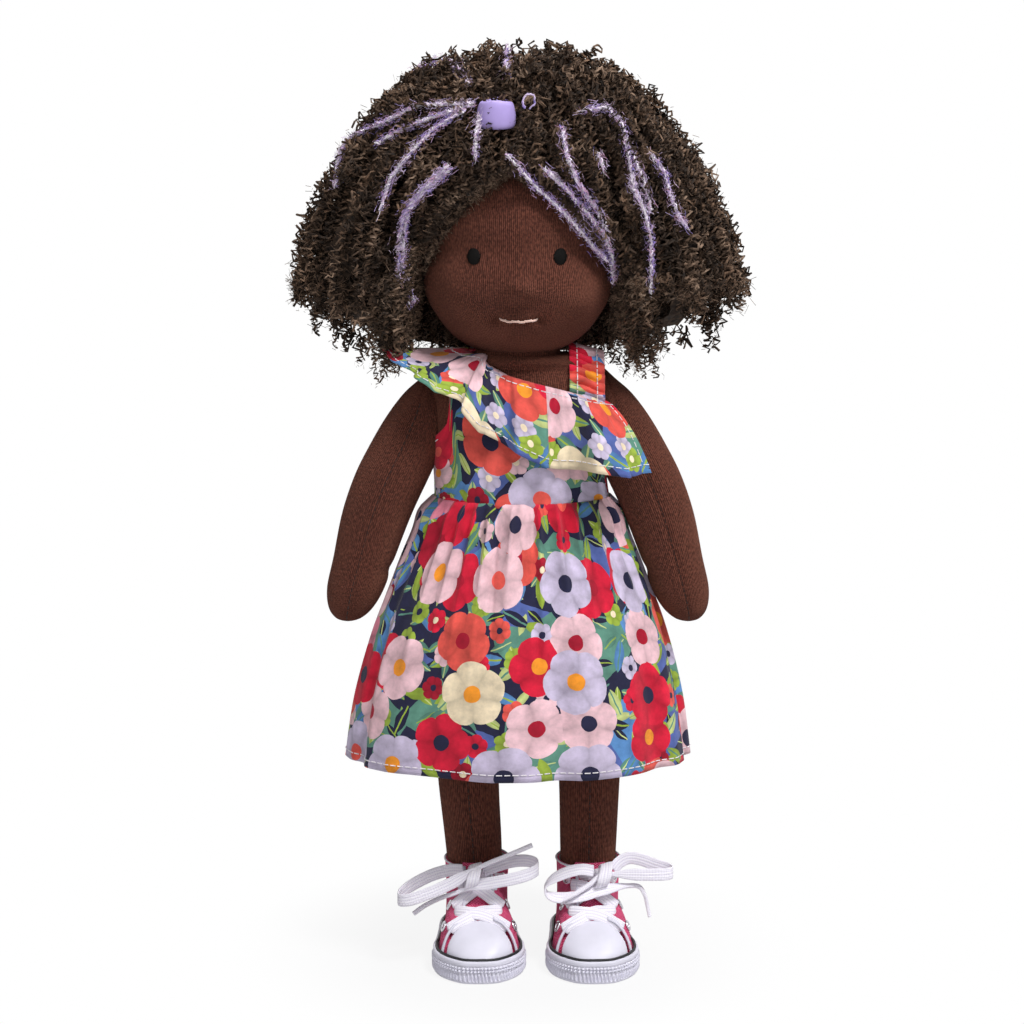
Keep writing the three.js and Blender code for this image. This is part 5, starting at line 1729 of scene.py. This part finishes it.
    def build(self) -> None:
        """Makes the whole dress."""
        self.bodice()
        self.skirt()
        self.ruffle()
        self.strap()


@dataclass
class Hair:
    """Bouclé yarn drawn from a tied tuft over the head, with mohair streaks. Millimetres."""

    head: Head
    seed: int = 11
    bottom: float = 243.2
    top: float = 380.2
    half_width: float = 93.0
    front: float = 47.0
    back: float = 66.0
    crown: Row = (-5.0, -15.0, 357.0)
    middle: Row = (0.0, 4.0, 300.0)
    shares: tuple[Row, ...] = (
        (0, 0.05, -0.8, 0.7), (0.025, 0.32, -0.55, 0.88), (0.066, 0.6, 0.11, 0.95), (0.124, 0.78, 0.57, 0.98),
        (0.197, 0.92, 0.87, 1), (0.307, 1, 0.98, 1), (0.416, 0.968, 1, 1), (0.547, 0.88, 1, 0.955),
        (0.679, 0.763, 0.94, 0.85), (0.796, 0.613, 0.81, 0.73), (0.883, 0.46, 0.64, 0.58),
        (0.949, 0.3, 0.43, 0.4), (0.985, 0.16, 0.19, 0.22), (1, 0, -0.05, 0.05),
    )
    face_left: tuple[Row, ...] = (
        (250, -43), (262, -42), (277, -40.5), (287, -38), (300, -32.5), (316, -20), (330, -2.5),
    )
    face_right: tuple[Row, ...] = (
        (250, 42), (262, 40.5), (276, 39), (290, 36), (303, 29), (319, 13), (330, -2.5),
    )
    parting: float = -2.5
    widest: float = 0.307
    peak: float = 330.0
    fringe_count: int = 190
    swept_count: int = 112
    tuft_count: int = 620
    standing_count: int = 300
    back_streaks: tuple[float, ...] = (35, 51, 72, 81, 104, 113, 138, 149)
    fibres_per_mm: float = 13
    locks: tuple[tuple[str, float, float, int], ...] = (
        ("hair_fringe_left", -90, -20, 27), ("hair_side_left", -20, 50, 32), ("hair_back", 50, 90, 22),
        ("", 90, 130, 22), ("hair_side_right", 130, 200, 32), ("hair_fringe_right", 200, 270, 27),
    )
    streaks: tuple[tuple[Row, ...], ...] = (
        ((-17, 354.6), (-39, 354), (-54, 347), (-67, 341.5), (-72, 335.7), (-73, 321.5)),
        ((-19.5, 353.8), (-33, 349.6), (-45, 345), (-56, 339)),
        ((-21, 352), (-33, 345), (-42, 335.7), (-50, 326), (-54, 314)),
        ((-26.5, 329.6), (-36, 321.5), (-43, 314), (-45, 303), (-46, 291.5), (-42, 276)),
        ((-28, 330.5), (-37, 322), (-44.5, 313), (-47, 300), (-47.5, 288), (-44, 275)),
        ((-29, 372.5), (-24, 369), (-19.5, 362.7)), ((-40, 369.5), (-30, 372.5)), ((-4, 377), (-5, 366)),
        ((-4, 335), (6, 323.5), (14.5, 315.7), (22, 308), (29, 299.6), (35, 293.4)),
        ((10.5, 329.6), (18.7, 322), (26.5, 313), (34, 303.5), (37.5, 294.6), (38, 284.6)),
        ((16.8, 345.7), (18.7, 334), (23.4, 323.7), (29, 316), (34, 307)),
        ((25, 352), (35, 353.5), (41, 345.7), (43, 334), (45, 321.5), (49, 313.8), (52, 303), (52.5, 280.7)),
        ((44, 336), (48.7, 325.3), (52, 313.8)),
        ((52, 335.3), (57.7, 327.6), (59.7, 318.7), (63, 311), (66, 307)),
        ((31, 335.3), (33, 329.5)), ((-15, 351), (-16.2, 343), (-16.5, 334)),
    )

    def __post_init__(self) -> None:
        """Starts the seeded run of random numbers."""
        self.random = np.random.default_rng(self.seed)
        self.fuzz_spots: list[np.ndarray] = []

    def tone(self, *shares: float) -> int:
        """The number of a yarn, drawn by the shares of all."""
        return int(self.random.choice(len(shares), p=shares))

    def face_edges(self, z: np.ndarray | float) -> list[np.ndarray]:
        """Where the hair's left and right edge at the face lie across, at some heights."""
        return [np.interp(z, *np.array(rows).T) for rows in (self.face_left, self.face_right)]

    def shell(self, degrees: np.ndarray, rise: np.ndarray, layer: np.ndarray | float) -> np.ndarray:
        """Points of the hair's form, drawn in towards its middle by a layer.

        Args:
            degrees: Angles about Z, the front at -90.
            rise: Shares of the height.
            layer: 1 on the outside, less inside.

        Returns:
            Points in doll millimetres, one a row.
        """
        rows = np.array(self.shares)
        side, ahead, behind = (np.interp(rise, rows[:, 0], rows[:, i]) for i in (1, 2, 3))
        depth = (ahead * self.front + behind * self.back) / 2
        shift = (behind * self.back - ahead * self.front) / 2
        turn = np.radians(degrees)
        points = np.column_stack([
            side * self.half_width * np.cos(turn), shift + depth * np.sin(turn),
            self.bottom + rise * (self.top - self.bottom),
        ])
        return np.array(self.middle) + (points - self.middle) * np.reshape(layer, (-1, 1))

    def off_face(self, points: np.ndarray, margin: float) -> np.ndarray:
        """Moves points that hang before the face out to its edge, and lays them near the head there.

        Args:
            points: Points in doll millimetres.
            margin: How far outside the face's edge they keep.

        Returns:
            The moved points.
        """
        points = points.copy()
        left, right = self.face_edges(points[:, 2])
        gap, clear, fade = 5, 3.0, 26
        ahead = (points[:, 1] < -4) & (points[:, 2] < self.peak)
        to_left = np.full(len(points), np.median(points[:, 0]) < self.parting)
        points[:, 0] = np.where(ahead & to_left, np.minimum(points[:, 0], left - margin), points[:, 0])
        points[:, 0] = np.where(ahead & ~to_left, np.maximum(points[:, 0], right + margin), points[:, 0])
        away = np.where(to_left, left - points[:, 0], points[:, 0] - right)
        head = np.array([self.head.radius(z) for z in points[:, 2]])
        near = -np.sqrt(np.maximum(head**2 - points[:, 0] ** 2, 9)) - gap
        share = np.clip(away / fade, 0, 1) ** 0.6
        points[:, 1] = np.where(ahead, near + (np.minimum(points[:, 1], near) - near) * share, points[:, 1])
        reach = np.hypot(points[:, 0], points[:, 1])
        room = np.where(points[:, 2] < self.head.base + self.head.height, head + clear, 0)
        points[:, :2] *= (np.maximum(reach, room) / np.maximum(reach, 1))[:, None]
        return points

    def curled(self, line: np.ndarray, radius: float, pitch: float, wild: float = 0.7) -> np.ndarray:
        """Winds a line into a loose, uneven curl.

        Args:
            line: Points of the strand in doll millimetres.
            radius: Radius of the curl.
            pitch: Length of one turn along the strand.
            wild: How uneven it is.

        Returns:
            Points in frame metres.
        """
        run = run_along(line)
        count = max(int(run[-1] / pitch * 4.4), 6)
        spots = np.linspace(0, run[-1], count)
        middle = sampled(line, run, spots)
        ahead = np.gradient(middle, axis=0)
        ahead /= np.linalg.norm(ahead, axis=1)[:, None] + 1e-9
        aside = np.cross(ahead, self.random.normal(size=3) + np.array([0.3, -1.2, 0.2]))
        aside /= np.linalg.norm(aside, axis=1)[:, None] + 1e-9
        third = np.cross(ahead, aside)
        speed = 1 + wild * self.random.uniform(-0.9, 0.9, size=count)
        phase = np.cumsum(speed) * FULL_TURN * spots[1] / pitch + self.random.uniform(0, FULL_TURN)
        size = radius * np.exp(self.random.normal(scale=wild * 0.6, size=count)).clip(0.2, 2.0)
        slip = self.random.normal(scale=wild * pitch * 0.3, size=count)
        points = middle + size[:, None] * (np.cos(phase)[:, None] * aside + np.sin(phase)[:, None] * third)
        points += slip[:, None] * ahead
        points[:, 1] += DOLL_Y
        return points * MM

    def wander(self, count: int, scale: float) -> np.ndarray:
        """A slow random drift along a strand, as an offset for each point."""
        knots = self.random.normal(scale=scale, size=(6, 3))
        knots[0] = 0
        return sampled(knots, np.arange(6), np.linspace(0, 5, count))

    def guide(self, degrees: float, layer: float) -> np.ndarray:
        """The line of one lock, from the tied tuft over the form and then hanging to its outline.

        Args:
            degrees: Where it hangs about the head.
            layer: How far out it lies.

        Returns:
            Points in doll millimetres.
        """
        steps, hanging = 36, 30
        rise = np.linspace(0.985, self.widest, steps)
        sway = degrees + np.linspace(0, self.random.normal(scale=9), steps)
        over = self.shell(sway, rise, layer)
        start = np.array(self.crown) + self.random.normal(scale=(9, 7, 3))
        share = np.clip(np.linspace(0, 1, steps) / 0.16, 0, 1)[:, None]
        share = share * share * (3 - 2 * share)
        over = start * (1 - share) + over * share
        low = np.linspace(0, self.widest, hanging)
        ring = self.shell(np.full(hanging, sway[-1]), low, 1.0)
        axis = np.array([0, 10])
        reach = np.linalg.norm(over[-1, :2] - axis)
        outside = low[np.linalg.norm(ring[:, :2] - axis, axis=1) >= reach * 0.985]
        tip = self.bottom + (outside.min() if len(outside) else self.widest * 0.95) * (self.top - self.bottom)
        tip = min(tip + self.random.normal(2, 6), over[-1, 2] - 6)
        fall = np.linspace(0, 1, 17)[1:, None]
        flick = np.array([*(over[-1, :2] - axis) / reach * self.random.normal(1.5, 3), tip - over[-1, 2]])
        return np.concatenate([over, over[-1] + flick * fall])

    def long_locks(self) -> None:
        """The long strands, lock by lock: a few yarns that keep together down to their tips."""
        yarns = 4
        for number, (node, low, high, count) in enumerate(self.locks):
            lock = Strands(f"hair_lock_{number + 1}", 0.5, Section.HALF)
            for i in range(count):
                degrees = mix(low, high, (i + self.random.uniform()) / count)
                layer = 0.98 - 0.3 * self.random.uniform() ** 1.4
                guide = self.guide(degrees, layer)
                close = np.linspace(1, 0.45, len(guide))[:, None]
                margin = 4.0 + (1 - layer) * 24 + abs(self.random.normal(scale=3))
                for _ in range(yarns):
                    line = guide + self.random.normal(scale=2.6, size=3) * close
                    line = line + self.wander(len(guide), 1.3)
                    line = self.off_face(line, margin)[: len(line) - self.random.integers(0, 7)]
                    self.fuzz_spots.append(line[self.random.integers(3, len(line), size=90)])
                    curl, pitch = self.random.uniform(0.9, 1.7), self.random.uniform(2.4, 3.3)
                    lock.add(self.curled(line, curl, pitch), self.tone(0.34, 0.4, 0.26))
            dress(lock.build(YARNS), None, "head", [node] if node else [])

    def fringe(self) -> None:
        """Strands swept from the parting down both edges of the face, and those behind the jaw."""
        for side, edge, sign in (("left", self.face_right, 1), ("right", self.face_left, -1)):
            lock = Strands(f"hair_fringe_{side}_edge", 0.42, Section.HALF)
            rows, steps = np.array(edge), 40
            for i in range(self.fringe_count):
                swept = i < self.swept_count
                out = abs(self.random.normal(scale=6.5)) + 0.8
                high = self.random.uniform(self.peak + 1, 349) if swept else self.random.uniform(296, 312)
                low = self.random.normal(267, 6) if swept else self.random.normal(253, 5)
                z = np.linspace(high, low, steps)
                x = np.interp(z, rows[:, 0], rows[:, 1]) + sign * out * np.clip((high + 4 - z) / 26, 0.15, 1)
                over = np.clip((z - self.peak + 4) / 8, 0, 1)
                x += (self.random.normal(scale=3) - sign * 2) * over
                radius = np.array([self.head.radius(max(v, 276)) for v in z])
                lift = self.random.uniform(2.0, 4.5) + out * 0.3
                y = -np.sqrt(np.maximum(radius**2 - x**2, 16)) - lift
                if not swept:
                    y = np.full(steps, self.random.uniform(-12, 46))
                    x = x + sign * 3 - sign * np.clip(y - 14, 0, 32) * 0.9
                line = np.column_stack([x, y, z]) + self.wander(steps, 0.8)
                curl = min(self.random.uniform(0.7, 1.3), 0.55 + out * 0.12)
                self.fuzz_spots.append(line[self.random.integers(1, len(line), size=120)])
                pitch = self.random.uniform(2.0, 2.8)
                lock.add(self.curled(line, curl, pitch), self.tone(0.08, 0.24, 0.68))
            dress(lock.build(YARNS), None, "head")

    def tuft(self) -> None:
        """Short curls that stand up from the tie, and loose ones that break the outline."""
        lock, steps = Strands("hair_tuft", 0.5, Section.HALF), 14
        for i in range(self.tuft_count):
            high = i < self.standing_count
            degrees = self.random.uniform(-180, 180)
            rise = self.random.uniform(0.8, 0.99) if high else self.random.uniform(0.1, 0.9)
            start = self.shell(np.array([degrees]), np.array([rise]), 0.88 if high else 0.94)
            out = (start - self.middle) / np.linalg.norm(start - self.middle)
            out[0, 2] += 0.6 * high
            reach = self.random.uniform(3, 7) + (2.5 * (1 - ease(rise, 0.9, 0.97)) if high else 0)
            hang = np.array([[0, 0, -1.0]]) * self.random.uniform(0, 9) * (1 if rise < 0.5 else 0.1)
            share = np.linspace(0, 1, steps)[:, None]
            line = start + out * reach * np.sin(share * 2.0) + hang * share**2 + self.wander(steps, 1.6)
            curl = self.curled(self.off_face(line, 6), self.random.uniform(1.0, 1.9), 3.0)
            lock.add(curl, self.tone(0.3, 0.4, 0.3))
        dress(lock.build(YARNS), None, "head", ["hair_top"])

    def depth(self, x: float, z: float) -> float:
        """How far forward the hair's front lies at a place seen from the front."""
        rise = np.array([(z - self.bottom) / (self.top - self.bottom)])
        ring = self.shell(np.linspace(-180, 0, 181), np.repeat(rise, 181), 1.0)
        y = float(np.interp(x, ring[:, 0], ring[:, 1]))
        return float(self.off_face(np.array([[x, y, z]]), 0.0)[0, 1])

    def mohair(self) -> None:
        """Pale streaks along the hair and the fine fibres that stand off them."""
        yarn = Strands("hair_streaks", 0.32, Section.HALF)
        fibres = Strands("hair_fibres", 0.07, Section.BLADE)
        lines = []
        for route in self.streaks:
            line = np.array([(x, self.depth(x, z) - 2.4, z) for x, z in route])
            lines.append(sampled(line, np.arange(len(line)), np.linspace(0, len(line) - 1, 40)))
        for degrees in self.back_streaks:
            line = self.guide(degrees, 1.01)[self.random.integers(5, 20) : self.random.integers(30, 50)]
            lines.append(line + self.wander(len(line), 2.6))
        for i, line in enumerate(lines):
            for ply in range(4):
                moved = line + self.random.normal(scale=0.45, size=3) * (ply > 0)
                curl = 0.3 if ply == 0 else self.random.uniform(0.35, 0.7)
                yarn.add(self.curled(moved, curl, 2.2), 0 if ply < 2 else 1 + (i + ply) % 2)
            for _ in range(int(run_along(line)[-1] * self.fibres_per_mm)):
                along = self.random.uniform(0, len(line) - 1.001)
                low = int(along)
                near = self.random.uniform() < 0.42
                step = line[low + 1] - line[low]
                spot = line[low] + step * (along - low)
                spot = spot + self.random.normal(scale=0.3 if near else 1.1, size=3)
                ahead = step / np.linalg.norm(step) * self.random.normal(scale=0.9)
                ahead = ahead + self.random.normal(scale=0.22 if near else 0.4, size=3)
                tip = spot + 1.7 * ahead + self.random.normal(scale=0.45, size=3)
                fibre = np.array([spot, spot + ahead, tip]) + (0, DOLL_Y, 0)
                fibres.add(fibre * MM, 0 if near else int(self.random.choice((1, 2), p=(0.5, 0.5))))
        dress(yarn.build(MOHAIR), None, "head")
        dress(fibres.build(MOHAIR), None, "head")

    def fuzz(self) -> None:
        """The short fibres that stand off the yarn, in a few pieces."""
        spots = np.concatenate(self.fuzz_spots)
        starts = spots + self.random.normal(scale=1.3, size=spots.shape)
        ends = starts + self.random.normal(scale=1.35, size=spots.shape)
        lines = (np.stack([starts, ends], axis=1) + np.array([0, DOLL_Y, 0])) * MM
        tones = self.random.choice(3, p=(0.1, 0.35, 0.55), size=len(lines))
        for number, part in enumerate(np.array_split(np.arange(len(lines)), 3)):
            fibres = Strands(f"hair_fuzz_{number + 1}", 0.09, Section.BLADE)
            for i in part:
                fibres.add(lines[i], int(tones[i]))
            dress(fibres.build(YARNS), None, "head")

    def underlay(self) -> None:
        """The wig cap on the head and the dense yarn under the curls."""

        def cap(u: float, v: float) -> Vector:
            """The cap, open at the face."""
            top = self.head.base + self.head.height
            z = mix(262.0, top + 0.6, v)
            radius = self.head.radius(min(z, top - 0.2)) + 1.4 if v < 1 else 0.0
            back = 0.5 * (1 - ease(z, 288, 304))
            edges = [edge / max(radius, 3) for edge in self.face_edges(z)]
            end, start = (math.asin(min(max(edge, -0.98), 0.98)) for edge in edges)
            turn = mix(start + back, end + FULL_TURN - back, u)
            return at(radius * math.sin(turn), -radius * math.cos(turn), z)

        knit = shaped_grid("wig_cap_knit", 120, 60, cap, (200, 90))
        dress(knit, YARNS[0], "head", ["wig_cap"])

        def mass(u: float, v: float) -> Vector:
            """The dense yarn, open before the face."""
            degrees = mix(-36, 216, u)
            low = mix(0.13, 0.0, ease(math.sin(math.radians(degrees)), -0.1, 0.5))
            rise = mix(low, 1.0, v)
            lump = 0.02 * math.sin(degrees * 0.9) * math.sin(rise * 60)
            lump += 0.012 * math.sin(degrees * 2.3 + rise * 90)
            return at(*self.shell(np.array([degrees]), np.array([rise]), 0.885 + lump)[0])

        dress(shaped_grid("hair_underlay", 150, 70, mass, (300, 150)), YARNS[0], "head")

    def tie(self) -> None:
        """The lilac elastic band and a small loop of lilac mohair beside it."""
        tilt, middle = math.radians(8), (-8.6, -36, 350.6)

        def band(u: float, v: float) -> Vector:
            """A soft smooth band round the tuft."""
            turn, ring = FULL_TURN * u, FULL_TURN * v
            out = 5.4 + 2.3 * rounded(math.cos(ring), 0.6)
            high = 5.4 * rounded(math.sin(ring), 0.5)
            local = Vector((out * math.cos(turn), out * math.sin(turn) * 0.9, high))
            local.z -= 0.5 * math.cos(2 * turn) * ease(local.z, -1.0, 3.0)
            local.x *= 1 - 0.1 * ease(local.z, -1.0, 5.0)
            y = local.y * math.cos(tilt) - local.z * math.sin(tilt)
            z = local.y * math.sin(tilt) + local.z * math.cos(tilt)
            return at(middle[0] + local.x, middle[1] + y, middle[2] + z)

        dress(shaped_grid("hair_band", 64, 24, band, (44, 24)), BAND, "head", ["hair_tie"])
        loop = Strands("hair_loop", 0.3)
        turns = np.linspace(-2.7, 2.7, 25)
        ring = np.column_stack([
            4.4 + 2.3 * np.sin(turns) - 0.12 * turns**2, np.full(25, -40.0), 355.4 + 2.9 * np.cos(turns),
        ])
        for _ in range(3):
            loop.add(self.curled(ring, 0.3, 3.0, 0.3), 1)
        dress(loop.build(MOHAIR), None, "head")

    def build(self) -> None:
        """Makes the whole head of hair."""
        self.underlay()
        self.long_locks()
        self.fringe()
        self.tuft()
        self.mohair()
        self.fuzz()
        self.tie()


def main() -> None:
    """Builds the studio, then every piece of the doll, logging each piece's faces."""
    logging.basicConfig(level=logging.INFO, format="%(name)s %(message)s")
    studio = Studio()
    studio.camera()
    for end in LACE_ENDS:
        end.build()
    studio.surroundings()
    for side, axis in LEG_AXES.items():
        Shoe(side, axis).build()
    Body().build()
    head = Head()
    head.build()
    Dress().build()
    Hair(head).build()


if __name__ == "__main__":
    main()
